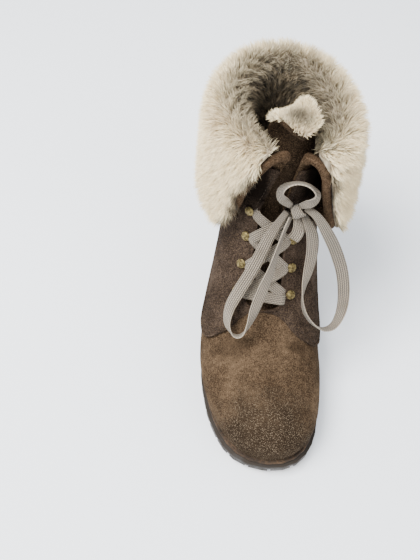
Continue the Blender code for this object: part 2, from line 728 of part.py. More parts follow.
def make_tongue():
    """The tongue under the throat, its free top bent outwards and to the inner side."""
    share = np.linspace(-1, 1, 7)
    held = np.array([THROAT_ROW - 0.6, THROAT_ROW - 0.2, *np.arange(THROAT_ROW + 0.4, SHAFT_TOP_ROW - 1.2, 0.8)])
    depth = WALL + TONGUE_GAP + TONGUE_THICKNESS / 2
    keys = []
    for row in held:
        half = min(TONGUE_HALF_WIDTH, float(throat_gap(row)) + TONGUE_OVERLAP)
        keys.append(SKIN.across(row, share * half, -depth))
    collar = SKIN.across(SHAFT_TOP_ROW, 0.0)
    for inwards, back, up, width, cup, turn in TONGUE_TOP:
        middle = collar + np.array([inwards, back, up]) * TONGUE_RISE
        reach = width * TONGUE_HALF_WIDTH * share
        yaw = math.radians(turn)
        bow = cup * TONGUE_HALF_WIDTH * share**2
        line = middle + np.outer(reach, (math.cos(yaw), math.sin(yaw), 0.0))
        keys.append(line + np.outer(bow, (-math.sin(yaw), math.cos(yaw), 0.0)))
    grid = smooth_rows(np.array(keys), np.linspace(0, len(keys) - 1, len(keys) + 5))
    along, across = np.gradient(grid, axis=0), np.gradient(grid, axis=1)
    normal = np.cross(across, along)
    normal /= np.linalg.norm(normal, axis=-1, keepdims=True)
    half = TONGUE_THICKNESS / 2
    piece("tongue", slab(grid - normal * half, grid + normal * half), "suede")


def sole_rings(places, top, bottom, front_reach, back_reach):
    """Cross-sections of a plate that follows the sole, from toe to heel."""
    rings = []
    for place in places:
        y, half, centre = rim(place, front_reach, back_reach)
        xs = centre + half * np.array([-1, 0, 1])
        upper_z, lower_z = float(top(y)), float(bottom(y))
        ring = [(x, y, upper_z) for x in xs] + [(x, y, lower_z) for x in xs[::-1]]
        rings.append(ring)
    return np.array(rings, float)


def prism(bm, outline, bottom, top):
    """An upright prism over an outline whose ends follow the tread."""
    rings = [[(x, y, float(height(y))) for x, y in outline] for height in (bottom, top)]
    lofted(bm, placed(rings))


def slot_rays():
    """Start and direction of each groove: across the sides and fanned round the toe."""
    rays = []
    gap = (POCKET_END - POCKET_START) / (SIDE_SLOTS - 1)
    for k in range(SIDE_SLOTS):
        for side in (1, -1):
            rays.append((POCKET_START + k * gap, side, 0.04 * (k - 2)))
    for k in range(TOE_SLOTS):
        angle = math.pi * (k + 1) / (TOE_SLOTS + 1)
        rays.append((POCKET_START, math.cos(angle), -SLOT_FAN * math.sin(angle) * 1.2))
    return rays


def slot_sides(start, x, y):
    """Both sides of one groove: narrow, with a diamond eye, and out past the edge of the sole."""
    size = math.hypot(x, y)
    ray, cross = np.array([x, y]) / size, np.array([-y, x]) / size
    first = np.array([float(feather(start)[1]), start])
    reach = POCKET_RADIUS
    while reach < BALL_WIDTH:
        px, py = first + ray * reach
        _, half, centre = rim(max(py + SOLE_REACH, 0.0), SOLE_REACH, WAIST_REACH)
        if py < -SOLE_REACH or abs(px - centre) > half:
            break
        reach += 0.0005
    inner = POCKET_RADIUS - 0.0015
    eye = inner + 0.36 * (reach - inner)
    half = SLOT_WIDTH / 2
    run = [inner, eye - SLOT_EYE / 2, eye, eye + SLOT_EYE / 2, reach + SLOT_EYE]
    wide = [0.8 * half, 0.8 * half, SLOT_EYE / 2, 0.9 * half, 1.2 * half]
    return [(first + ray * r + cross * w, first + ray * r - cross * w) for r, w in zip(run, wide)]


def pocket_sides():
    """Both sides of the long round-ended pocket along the middle of the tread."""
    ends = np.cos(np.linspace(math.radians(8), math.pi / 2, 5))
    places = [POCKET_START - POCKET_RADIUS * e for e in ends]
    places += [POCKET_START + (POCKET_END - POCKET_START) * k / FLOWER_COUNT for k in range(1, FLOWER_COUNT)]
    places += [POCKET_END + POCKET_RADIUS * e for e in ends[::-1]]
    sides = []
    for place in places:
        past = max(POCKET_START - place, place - POCKET_END, 0.0) / POCKET_RADIUS
        half = POCKET_RADIUS * math.sqrt(1 - past**2)
        centre = float(feather(place)[1])
        sides.append(((centre - half, place), (centre + half, place)))
    return sides


def trench(bm, sides, bottom, top):
    """A closed body between the two sides of a groove, its ends following the tread."""
    rings = []
    for left, right in sides:
        low = [(x, y, float(bottom(y))) for x, y in (left, right)]
        high = [(x, y, float(top(y))) for x, y in (right, left)]
        rings.append(low + high)
    lofted(bm, placed(rings))


def flower(place):
    """A four-lobed lug."""
    centre = float(feather(place)[1])
    lobes = [1.0, 0.93, 0.62, 0.93]
    points = []
    for k in range(16):
        angle = 2 * math.pi * k / 16
        radius = FLOWER_RADIUS * lobes[k % 4]
        points.append((centre + radius * math.cos(angle), place + radius * math.sin(angle)))
    return points


def make_outsole():
    """Rubber sole: lugged forepart with toe spring, thin waist and seat."""

    def groove_floor(place):
        return outsole_bottom(place) + LUG_DEPTH * (1 - waist_share(place))

    def under(place):
        return outsole_bottom(place) - LUG_DEPTH

    def inside_base(place):
        return groove_floor(place) + SOLE_BASE / 4

    rings = sole_rings(stations(28), outsole_top, outsole_bottom, SOLE_REACH, WAIST_REACH)
    outsole = loft_piece("outsole", rings, "rubber")
    slots = bmesh.new()
    for ray in slot_rays():
        trench(slots, slot_sides(*ray), under, groove_floor)
    combine(outsole, helper("outsole_slots", outwards(slots), "rubber"), "DIFFERENCE")
    pocket = bmesh.new()
    trench(pocket, pocket_sides(), under, groove_floor)
    combine(outsole, helper("outsole_pocket", outwards(pocket), "rubber"), "DIFFERENCE")
    flowers = bmesh.new()
    for k in range(FLOWER_COUNT):
        place = POCKET_START + (POCKET_END - POCKET_START) * k / (FLOWER_COUNT - 1)
        prism(flowers, flower(place), outsole_bottom, inside_base)
    combine(outsole, helper("outsole_flowers", outwards(flowers), "rubber"), "UNION")


def make_welt():
    """A flat ring between outsole and upper, lapped under the upper's edge."""
    places = stations(28)
    outer = np.array([rim(p, WELT_REACH, 0.5 * WELT_REACH) for p in places])
    inner = np.array([rim(p, -WELT_LAP, -WELT_LAP) for p in places])
    rings = []
    for side, order in ((1, range(len(places))), (-1, range(len(places) - 1, -1, -1))):
        for k in order:
            ring = []
            for (y, half, centre), down in ((outer[k], 0), (inner[k], 0), (inner[k], 1), (outer[k], 1)):
                z = float(sole_line(y)) - down * WELT_THICKNESS
                ring.append((centre + side * half, y, z))
            rings.append(ring)
    loft_piece("welt", np.array(rings), "welt", closed=True)


def make_insole():
    def top(place):
        return sole_line(place) + SEAT_GAP + INSOLE_THICKNESS

    def bottom(place):
        return sole_line(place) + SEAT_GAP

    inset = -(WALL + INSOLE_GAP)
    rings = sole_rings(stations(20), top, bottom, inset, inset)
    loft_piece("insole", rings, "insole")


def heel_outlines():
    """Plan of the heel under the seat and at its base: flat breast, round back."""
    turns = np.linspace(0, math.pi, 13)
    base_back = HEEL_BASE_BREAST + HEEL_BASE_DEPTH
    seat, base = [], []
    for turn in turns:
        share, side = math.sin(turn) ** 0.75, math.copysign(1, math.cos(turn))
        place = HEEL_BREAST + (FOOT_LENGTH - HEEL_BREAST) * share
        y, half, centre = rim(place, SOLE_REACH, WAIST_REACH)
        seat.append((centre + side * (half if abs(math.cos(turn)) > 1e-6 else 0.0), y))
        across = math.copysign(abs(math.cos(turn)) ** 0.8, math.cos(turn))
        base.append((HEEL_BASE_WIDTH / 2 * across, HEEL_BASE_BREAST + (base_back - HEEL_BASE_BREAST) * share))
    return np.array(seat) * np.array([0.985, 1.0]) - np.array([0, CLEARANCE]), np.array(base)


def make_heel():
    """Stacked heel under the seat, and the rubber piece that it stands on."""
    seat, base = heel_outlines()
    top = outsole_bottom(seat[:, 1]) - SEAT_GAP
    bottom = np.full(len(base), TOP_PIECE + CLEARANCE)
    rings = []
    for share in (0.0, 0.35, 0.7, 1.0):
        plan = base + (seat - base) * share**1.25
        rings.append(np.column_stack([plan, bottom + (top - bottom) * share]))
    loft_piece("heel_stack", rings, "heel_leather")
    lift = [np.column_stack([base, np.full(len(base), z)]) for z in (0.0, TOP_PIECE)]
    loft_piece("heel_top_piece", lift, "heel_rubber")


def eyelet_run(k):
    """Distance of an eyelet's row up the throat."""
    return EYELET_START + k * EYELET_PITCH


def make_studs():
    """Gilt studs that hold the lace loops, in pairs up the quarters."""
    for name, side in (("rivet_medial", 1), ("rivet_lateral", -1)):
        for k in range(EYELET_ROWS):
            row = row_up_throat(eyelet_run(k))
            width = side * (throat_gap(row) + EYELET_SETBACK)
            seat = QUARTER_THICKNESS + 2.5 * CLEARANCE
            low = SKIN.across(row, width, seat)
            axis = SKIN.across(row, width, seat + STUD_HEIGHT) - low
            axis /= np.linalg.norm(axis)
            first = np.cross(axis, (0.0, 0.0, 1.0))
            first /= np.linalg.norm(first)
            second = np.cross(axis, first)
            rings = []
            for share, rise in ((1.0, 0.0), (1.0, 0.4), (0.6, 1.0)):
                ring = []
                for turn in np.linspace(0, 2 * math.pi, 10, endpoint=False):
                    spoke = first * math.cos(turn) + second * math.sin(turn)
                    ring.append(low + axis * STUD_HEIGHT * rise + spoke * STUD_RADIUS * share)
                rings.append(ring)
            loft_piece(f"{name}_{k + 1}", np.array(rings), "brass")


def band_rings(points, across, normals):
    """Cross-sections of a flat lace along a path."""
    rings = []
    for point, side, normal in zip(points, across, normals):
        w, n = side * LACE_WIDTH / 2, normal * LACE_THICKNESS / 2
        rings.append([point - w - n, point + w - n, point + w + n, point - w + n])
    return np.array(rings)


def strip_on_throat(first, last, layer):
    """Rings of a lace across the throat between (run, width) ends, on a layer over the facings."""
    share = np.linspace(0, 1, 5)
    run = first[0] + (last[0] - first[0]) * share
    width = first[1] + (last[1] - first[1]) * share
    lift = QUARTER_THICKNESS + 2 * CLEARANCE + LACE_THICKNESS * (1 + 0.3 * layer)
    row = row_up_throat(run)
    middle = SKIN.across(row, width, lift)
    normal = SKIN.across(row, width, lift + 0.001) - middle
    normal /= np.linalg.norm(normal, axis=1, keepdims=True)
    along = np.gradient(middle, axis=0)
    across = np.cross(normal, along)
    across /= np.linalg.norm(across, axis=1, keepdims=True)
    return band_rings(middle, across, normal)


def make_lace_bars():
    """The laced crossings over the tongue, in one joined piece."""

    def end(k, side, drop=0.0):
        run = eyelet_run(k) - drop
        return run, side * (float(throat_gap(row_up_throat(run))) + LACE_LAP)

    strips = [strip_on_throat(end(0, -1), end(0, 1, FIRST_BAR_DROP), 1)]
    for k in range(EYELET_ROWS - 1):
        strips.append(strip_on_throat(end(k, 1), end(k + 1, -1), 0))
        strips.append(strip_on_throat(end(k, -1), end(k + 1, 1), 2))
    bars = loft_piece("lace_bars", strips[0], "lace")
    for k, strip in enumerate(strips[1:]):
        bm = bmesh.new()
        lofted(bm, placed(strip))
        combine(bars, helper(f"lace_strip_{k + 1}", outwards(bm), "lace"), "UNION")


def make_bow():
    """The tied lace: a knot, a loop each side, a small curl on top and a free end."""
    outward = np.array([0.1, -0.6, 0.79])
    for name, table in BOW.items():
        table = np.array(table, float)
        keys = smooth_rows(table, np.linspace(0, len(table) - 1, 2 * len(table) - 1))
        points = keys[:, :3] * 0.001
        along = np.gradient(points, axis=0)
        flat = np.cross(along, outward)
        flat /= np.linalg.norm(flat, axis=1, keepdims=True)
        turn = np.radians(keys[:, 3])[:, None]
        across = flat * np.cos(turn) + outward * np.sin(turn)
        across -= along * (np.sum(across * along, 1) / np.sum(along * along, 1))[:, None]
        across /= np.linalg.norm(across, axis=1, keepdims=True)
        normal = np.cross(across, along)
        normal /= np.linalg.norm(normal, axis=1, keepdims=True)
        rings = band_rings(points, across * keys[:, 4:5], normal) + np.array([0.0, TREAD_PLACE, 0.0])
        loft_piece(name, rings, "lace")
    bm = bmesh.new()
    bmesh.ops.create_icosphere(bm, subdivisions=2, radius=1.0)
    bmesh.ops.scale(bm, verts=bm.verts, vec=KNOT_RADII)
    bmesh.ops.translate(bm, verts=bm.verts, vec=KNOT_CENTRE)
    piece("lace_knot", bm, "lace")


def main():
    clear_scene()
    make_outsole()
    make_welt()
    make_insole()
    make_heel()
    make_upper()
    make_quarters()
    make_tongue()
    make_cuff_fur()
    make_studs()
    make_lace_bars()
    make_bow()


main()
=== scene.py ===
# %% [markdown]
# # A fur-lined ankle boot
#
# This file dresses the plain solids of a right boot: brown suede, a shearling cuff turned down over
# the shaft, a flat braided lace tied in a bow, a lugged rubber sole and a stacked leather heel.
# The solids give every place and size, in metres: +Z is up, the toe points along -Y and the inner
# side of the foot is +X. Each step below says what a piece is on the real boot, and how it is made.

# %% The solids
import json
import math

import bmesh
import bpy
import numpy as np
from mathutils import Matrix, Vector
from mathutils.bvhtree import BVHTree

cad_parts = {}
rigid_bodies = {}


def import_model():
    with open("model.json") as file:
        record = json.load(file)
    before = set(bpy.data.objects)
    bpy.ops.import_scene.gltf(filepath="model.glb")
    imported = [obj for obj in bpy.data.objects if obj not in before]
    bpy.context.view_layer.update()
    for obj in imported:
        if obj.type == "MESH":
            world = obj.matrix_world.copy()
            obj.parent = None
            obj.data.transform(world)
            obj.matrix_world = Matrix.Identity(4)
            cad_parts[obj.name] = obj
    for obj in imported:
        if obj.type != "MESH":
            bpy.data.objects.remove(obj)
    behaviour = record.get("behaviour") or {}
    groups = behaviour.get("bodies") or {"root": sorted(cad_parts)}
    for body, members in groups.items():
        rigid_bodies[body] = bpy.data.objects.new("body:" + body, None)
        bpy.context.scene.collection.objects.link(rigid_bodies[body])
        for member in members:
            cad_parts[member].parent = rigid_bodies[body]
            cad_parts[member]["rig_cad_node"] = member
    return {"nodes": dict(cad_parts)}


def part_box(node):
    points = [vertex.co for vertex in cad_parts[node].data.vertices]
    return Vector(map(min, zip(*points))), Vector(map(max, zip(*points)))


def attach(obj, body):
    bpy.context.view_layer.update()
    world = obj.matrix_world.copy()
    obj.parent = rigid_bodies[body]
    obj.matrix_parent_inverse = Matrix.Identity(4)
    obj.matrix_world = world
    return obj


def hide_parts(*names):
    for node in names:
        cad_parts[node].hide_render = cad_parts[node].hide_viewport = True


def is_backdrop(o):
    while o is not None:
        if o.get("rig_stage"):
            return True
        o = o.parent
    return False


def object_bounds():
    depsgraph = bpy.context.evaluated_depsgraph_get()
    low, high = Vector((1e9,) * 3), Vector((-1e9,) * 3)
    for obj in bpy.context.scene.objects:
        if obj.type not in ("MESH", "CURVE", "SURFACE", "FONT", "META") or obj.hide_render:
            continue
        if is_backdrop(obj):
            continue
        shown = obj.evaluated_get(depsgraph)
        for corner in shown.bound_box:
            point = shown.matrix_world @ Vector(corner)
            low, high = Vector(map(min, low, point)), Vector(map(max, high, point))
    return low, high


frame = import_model()
nodes = frame["nodes"]
scene = bpy.context.scene
solid_low, solid_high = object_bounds()
MM = 0.001
SIDES = ("medial", "lateral")
print("solids:", len(nodes), "size in mm:", [round(1000 * (b - a)) for a, b in zip(solid_low, solid_high)])

# %% [markdown]
# ## The camera
#
# The picture is taken from in front and above, at arm's length, so the toe looks large and the
# shaft leans away. A lens of 39 mm on a frame 36 mm high gives the same foreshortening.

# %% Camera
EYE = Vector((-0.0183, -0.1986, 0.4767))
SIGHT = Vector((-0.052, 0.519, -0.853))

lens = bpy.data.cameras.new("camera")
lens.lens, lens.sensor_width, lens.clip_start = 39.2, 36.0, 0.01
camera = bpy.data.objects.new("camera", lens)
camera.location = EYE
camera.rotation_euler = SIGHT.to_track_quat("-Z", "Y").to_euler()
scene.collection.objects.link(camera)
scene.camera = camera
print("camera distance in m:", round((EYE - Vector((0, 0.03, 0.08))).length, 3))

# %% [markdown]
# ## The lace's route
#
# The lace is flat, so a route needs more than a line: at each point a turn says how far the braid
# is rolled from lying flat towards the viewer to standing on edge, and a share says how much of its
# width is open. At the knot the braid is pinched narrow. The loops hang from the knot and roll over
# at their lowest points.

# %% Routes of the bow
LACE_WIDTH = 0.009
LACE_THICKNESS = 0.0015
BOOT_FRONT = np.array([0.1, -0.6, 0.79])
BOW = {
    "lace_loop_medial": [
        # x, y, z in millimetres, turn from flat in degrees, share of the width
        (19.9, 60.6, 145.5, 20, 0.50),
        (25.5, 56.5, 137.0, 15, 0.85),
        (28.5, 54.0, 128.0, 10, 1.00),
        (30.0, 51.5, 115.0, 15, 1.00),
        (29.5, 45.5, 101.5, 30, 1.00),
        (27.5, 36.5, 93.0, 60, 1.00),
        (27.0, 27.5, 88.0, 85, 1.00),
        (30.0, 20.0, 82.0, 95, 1.00),
        (37.0, 16.0, 73.5, 95, 1.00),
        (46.0, 17.0, 65.0, 85, 1.00),
        (54.0, 22.0, 63.0, 70, 1.00),
        (58.5, 31.0, 69.0, 50, 1.00),
        (59.0, 41.0, 78.5, 30, 1.00),
        (55.0, 49.5, 95.0, 15, 1.00),
        (47.0, 54.0, 115.0, 10, 1.00),
        (38.0, 54.0, 135.0, 10, 0.90),
        (28.5, 57.0, 149.5, 15, 0.65),
        (20.2, 61.4, 152.6, 20, 0.45),
    ],
    "lace_loop_lateral": [
        (11.0, 58.0, 145.2, 60, 0.50),
        (7.5, 50.5, 137.5, 70, 0.90),
        (4.5, 42.5, 126.5, 65, 1.00),
        (1.5, 34.5, 113.5, 50, 1.00),
        (-2.5, 26.0, 101.0, 30, 1.00),
        (-6.5, 17.0, 90.5, 30, 1.00),
        (-10.0, 8.0, 80.5, 60, 1.00),
        (-15.0, 1.5, 74.0, 90, 1.00),
        (-21.5, 2.5, 72.0, 90, 1.00),
        (-26.5, 9.0, 76.0, 65, 1.00),
        (-25.5, 18.5, 83.0, 40, 1.00),
        (-20.0, 27.5, 92.5, 20, 1.00),
        (-13.0, 35.5, 105.0, 10, 1.00),
        (-7.0, 43.5, 118.0, 10, 1.00),
        (-1.5, 51.0, 132.0, 10, 0.85),
        (7.9, 60.8, 147.6, 15, 0.45),
    ],
    "lace_curl": [
        (10.4, 61.2, 153.9, 20, 0.45),
        (4.0, 60.5, 161.0, 50, 0.80),
        (2.5, 61.0, 168.0, 70, 0.90),
        (6.0, 61.0, 174.5, 75, 0.90),
        (12.5, 61.0, 177.5, 75, 0.90),
        (20.0, 59.5, 177.0, 70, 0.90),
        (25.0, 57.5, 172.0, 60, 0.90),
        (23.0, 57.5, 163.5, 45, 0.80),
        (16.6, 60.6, 155.0, 25, 0.45),
    ],
    "lace_end": [
        (15.4, 59.8, 143.6, 10, 0.50),
        (17.5, 55.5, 138.5, 10, 0.95),
        (17.0, 53.0, 134.0, 15, 1.00),
        (14.5, 51.0, 130.0, 15, 1.00),
    ],
}


def eased(table, steps):
    """Values along a table of points, on a smooth curve through all of them."""
    table = np.asarray(table, float)
    padded = np.vstack([2 * table[0] - table[1], table, 2 * table[-1] - table[-2]])
    made = []
    for k in range(len(table) - 1):
        a, b, c, d = padded[k : k + 4]
        square, cube = 2 * a - 5 * b + 4 * c - d, 3 * b - a - 3 * c + d
        for t in np.linspace(0, 1, steps, endpoint=False):
            made.append(0.5 * (2 * b + (c - a) * t + square * t**2 + cube * t**3))
    return np.array(made + [table[-1]])


def unit(vectors):
    """Vectors of length one."""
    return vectors / np.maximum(np.linalg.norm(vectors, axis=-1, keepdims=True), 1e-12)


def run_of(points):
    """Distance along a path at each of its points."""
    return np.concatenate([[0], np.cumsum(np.linalg.norm(np.diff(points, axis=0), axis=1))])


def rolled(points, turn):
    """Directions across a flat lace that is rolled by a turn from lying flat on the boot's front."""
    along = unit(np.gradient(points, axis=0))
    flat = unit(np.cross(along, BOOT_FRONT))
    angle = np.radians(turn)[:, None]
    across = flat * np.cos(angle) + BOOT_FRONT * np.sin(angle)
    return unit(across - along * np.sum(across * along, 1, keepdims=True))


routes = {name: eased(table, 6) for name, table in BOW.items()}
for name, route in routes.items():
    print(name, "length in mm:", round(float(run_of(route[:, :3])[-1])))

# %% [markdown]
# ## Light and floor
#
# The boot stands on a pale table under a large soft light. One wide lamp high on the outer side gives
# the soft shade under the cuff, a weaker one fills the inner side, and a bright even sky keeps the
# shadows open.

# %% Floor and lamps
def lamp(name, place, aim, size, power):
    """A square soft light at a place, turned to a point."""
    data = bpy.data.lights.new(name, "AREA")
    data.size, data.energy = size, power
    made = bpy.data.objects.new(name, data)
    made.location = place
    made.rotation_euler = (Vector(aim) - Vector(place)).to_track_quat("-Z", "Y").to_euler()
    scene.collection.objects.link(made)


lamp("soft_box", (-0.55, -0.15, 1.25), (0, 0.03, 0.06), 0.7, 43.0)
lamp("fill", (0.9, -0.6, 0.8), (0, 0.03, 0.08), 0.9, 6.0)

sky = bpy.data.worlds.new("sky")
sky.use_nodes = True
backdrop = sky.node_tree.nodes["Background"].inputs
backdrop["Color"].default_value = (0.90, 0.95, 1.0, 1)
backdrop["Strength"].default_value = 1.4
scene.world = sky

TABLE_HALF, TABLE_LEVEL = 2.0, -0.0002
corners = [(x * TABLE_HALF, y * TABLE_HALF, TABLE_LEVEL) for x, y in ((-1, -1), (1, -1), (1, 1), (-1, 1))]
table_mesh = bpy.data.meshes.new("table")
table_mesh.from_pydata(corners, [], [(0, 1, 2, 3)])
table_top = bpy.data.objects.new("table", table_mesh)
scene.collection.objects.link(table_top)
table_finish = bpy.data.materials.new("table_white")
table_finish.use_nodes = True
white = table_finish.node_tree.nodes["Principled BSDF"].inputs
white["Base Color"].default_value = (0.94, 0.96, 0.99, 1)
white["Roughness"].default_value = 0.8
table_mesh.materials.append(table_finish)
table_top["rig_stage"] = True

# %% [markdown]
# ## Finishes
#
# Every finish is a node material. What several of them share is built once as a node group: grain,
# a fine uneven surface with soft patches, and braid, the ribs and stitches of a woven lace with
# painted shade in their valleys.

# %% Node helpers
def add(tree, kind, inputs=None, **settings):
    """A node with its settings; an input is a value, or the socket that feeds it."""
    node = tree.nodes.new(kind)
    for key, value in settings.items():
        setattr(node, key, value)
    for key, value in (inputs or {}).items():
        if isinstance(value, bpy.types.NodeSocket):
            tree.links.new(value, node.inputs[key])
        else:
            node.inputs[key].default_value = value
    return node


def maths(tree, operation, a, b=0.0, c=0.0):
    """The result of a Math node."""
    return add(tree, "ShaderNodeMath", {0: a, 1: b, 2: c}, operation=operation).outputs[0]


def times(tree, a, b):
    """One number times another."""
    return maths(tree, "MULTIPLY", a, b)


def vector(tree, operation, a, b=(0, 0, 0), scale=None):
    """The result of a Vector Math node: a number for a distance, a length or a dot product."""
    inputs = {0: a, 1: b} if scale is None else {0: a, "Scale": scale}
    outputs = add(tree, "ShaderNodeVectorMath", inputs, operation=operation).outputs
    return outputs["Value" if operation in ("DISTANCE", "LENGTH", "DOT_PRODUCT") else "Vector"]


def split(tree, value):
    """The three numbers of a vector, by axis."""
    return add(tree, "ShaderNodeSeparateXYZ", {0: value}).outputs


def combined(tree, x, y, z):
    """A vector from three numbers."""
    return add(tree, "ShaderNodeCombineXYZ", {0: x, 1: y, 2: z}).outputs[0]


def noise(tree, place, scale, detail=2.0, roughness=0.5, output=0):
    """Cloudy noise at a place; where the place is None, a tree takes the point's own position."""
    inputs = {"Scale": scale, "Detail": detail, "Roughness": roughness}
    if place is not None:
        inputs["Vector"] = place
    return add(tree, "ShaderNodeTexNoise", inputs).outputs[output]


def remap(tree, value, low, high, to_low=0.0, to_high=1.0):
    """A value moved smoothly from one range to another."""
    inputs = {"Value": value, "From Min": low, "From Max": high, "To Min": to_low, "To Max": to_high}
    return add(tree, "ShaderNodeMapRange", inputs, interpolation_type="SMOOTHSTEP").outputs["Result"]


def mixed(tree, share, below, above, kind="MIX"):
    """One colour over another by a share; a colour is three numbers or a socket."""
    node = add(tree, "ShaderNodeMix", data_type="RGBA", blend_type=kind)
    for key, value in ((0, share), (6, below), (7, above)):
        if isinstance(value, bpy.types.NodeSocket):
            tree.links.new(value, node.inputs[key])
        else:
            node.inputs[key].default_value = value if key == 0 else (*value, 1.0)
    return node.outputs[2]


def group(name, inputs, outputs, family="ShaderNodeTree"):
    """An empty node group with named sockets, its input node and its output node."""
    tree = bpy.data.node_groups.new(name, family)
    for socket, kind, value in inputs:
        made = tree.interface.new_socket(socket, in_out="INPUT", socket_type=kind)
        if value is not None:
            made.default_value = value
    for socket, kind in outputs:
        tree.interface.new_socket(socket, in_out="OUTPUT", socket_type=kind)
    return tree, tree.nodes.new("NodeGroupInput"), tree.nodes.new("NodeGroupOutput")


def finish_of(name, roughness, metallic=0.0, **constants):
    """A material with its tree, its shader and its Object coordinates."""
    made = bpy.data.materials.new(name)
    made.use_nodes = True
    tree = made.node_tree
    shader = tree.nodes["Principled BSDF"]
    shader.inputs["Roughness"].default_value = roughness
    shader.inputs["Metallic"].default_value = metallic
    for key, value in constants.items():
        shader.inputs[key.replace("_", " ")].default_value = value
    return made, tree, shader, tree.nodes.new("ShaderNodeTexCoord").outputs["Object"]


def feed(tree, shader, colour=None, height=None, depth=0.0005, roughness=None):
    """Link a colour, a bump height and a roughness to the shader."""
    if colour is not None:
        tree.links.new(colour, shader.inputs["Base Color"])
    if roughness is not None:
        tree.links.new(roughness, shader.inputs["Roughness"])
    if height is not None:
        bump = add(tree, "ShaderNodeBump", {"Height": height, "Strength": 1.0, "Distance": depth})
        tree.links.new(bump.outputs["Normal"], shader.inputs["Normal"])


print("helpers ready")

# %% Groups: grain and braid
FLOAT, VECTOR, COLOUR = "NodeSocketFloat", "NodeSocketVector", "NodeSocketColor"

grain, start, end = group(
    "grain",
    [("Place", VECTOR, None), ("Patch Size", FLOAT, 60.0), ("Grain Size", FLOAT, 1500.0), ("Grain", FLOAT, 0.5),
     ("Dark", COLOUR, None), ("Light", COLOUR, None)],
    [("Colour", COLOUR), ("Height", FLOAT), ("Patch", FLOAT)],
)
place = start.outputs["Place"]
patch = remap(grain, noise(grain, place, start.outputs["Patch Size"], 5.0, 0.62), 0.32, 0.68)
fine = remap(grain, noise(grain, place, start.outputs["Grain Size"], 3.0, 0.7), 0.3, 0.7)
share = maths(grain, "ADD", patch, times(grain, maths(grain, "SUBTRACT", fine, 0.5), start.outputs["Grain"]))
grain.links.new(mixed(grain, share, start.outputs["Dark"], start.outputs["Light"]), end.inputs["Colour"])
grain.links.new(maths(grain, "ADD", fine, times(grain, patch, 0.4)), end.inputs["Height"])
grain.links.new(patch, end.inputs["Patch"])

braid, start, end = group(
    "braid",
    [("Place", VECTOR, None), ("Ribs", FLOAT, 6.0), ("Pitch", FLOAT, 0.0022)],
    [("Height", FLOAT), ("Shade", FLOAT)],
)
parts = split(braid, start.outputs["Place"])
rib = times(braid, parts["X"], start.outputs["Ribs"])
rib_side = maths(braid, "PINGPONG", rib, 0.5)
rib_number = maths(braid, "FLOOR", maths(braid, "ADD", rib, 0.5))
odd = maths(braid, "SUBTRACT", maths(braid, "MODULO", rib_number, 2.0), 0.5)
slope = times(braid, times(braid, odd, rib_side), 2.4)
slant = maths(braid, "ADD", maths(braid, "DIVIDE", parts["Y"], start.outputs["Pitch"]), slope)
stitch = times(braid, maths(braid, "PINGPONG", slant, 0.5), 2.0)
roundness = maths(braid, "SUBTRACT", 1.0, maths(braid, "POWER", times(braid, rib_side, 2.0), 2.0))
height = times(braid, remap(braid, stitch, 0.0, 0.7, 0.45, 1.0), maths(braid, "ADD", roundness, 0.1))
braid.links.new(height, end.inputs["Height"])
# Shade is painted shade: low in the valleys between ribs and stitches, high on their crowns
braid.links.new(remap(braid, height, 0.1, 0.9), end.inputs["Shade"])
print("groups:", [g.name for g in bpy.data.node_groups])

# %% [markdown]
# ### Suede
#
# Suede is leather with its nap brushed up: matt, with soft light and dark patches where the nap lies
# one way or the other. This boot's toe is scuffed: there the nap is worn dark and lets pale specks
# through. The mask for that is the distance from the toe, so it goes round the toe from any side.
# Two faint patches of painted crease shade lie over the vamp's folds, and painted shade darkens the
# shaft where the cuff hangs over it.

# %% Suede
TOE = (0.010, -0.060, 0.026)
# Centres and reaches of two patches of painted crease shade over the vamp's folds
CREASE_SHADES = (((-0.021, 0.000, 0.046), 0.020), ((0.026, 0.004, 0.046), 0.013))
THROAT_X = 0.006


def grained(tree, place, patch_size, grain_size, strength, dark, light):
    """The grain group in a material, with its own values."""
    sizes = {"Place": place, "Patch Size": patch_size, "Grain Size": grain_size, "Grain": strength}
    colours = {"Dark": (*dark, 1), "Light": (*light, 1)}
    return add(tree, "ShaderNodeGroup", {**sizes, **colours}, node_tree=grain).outputs


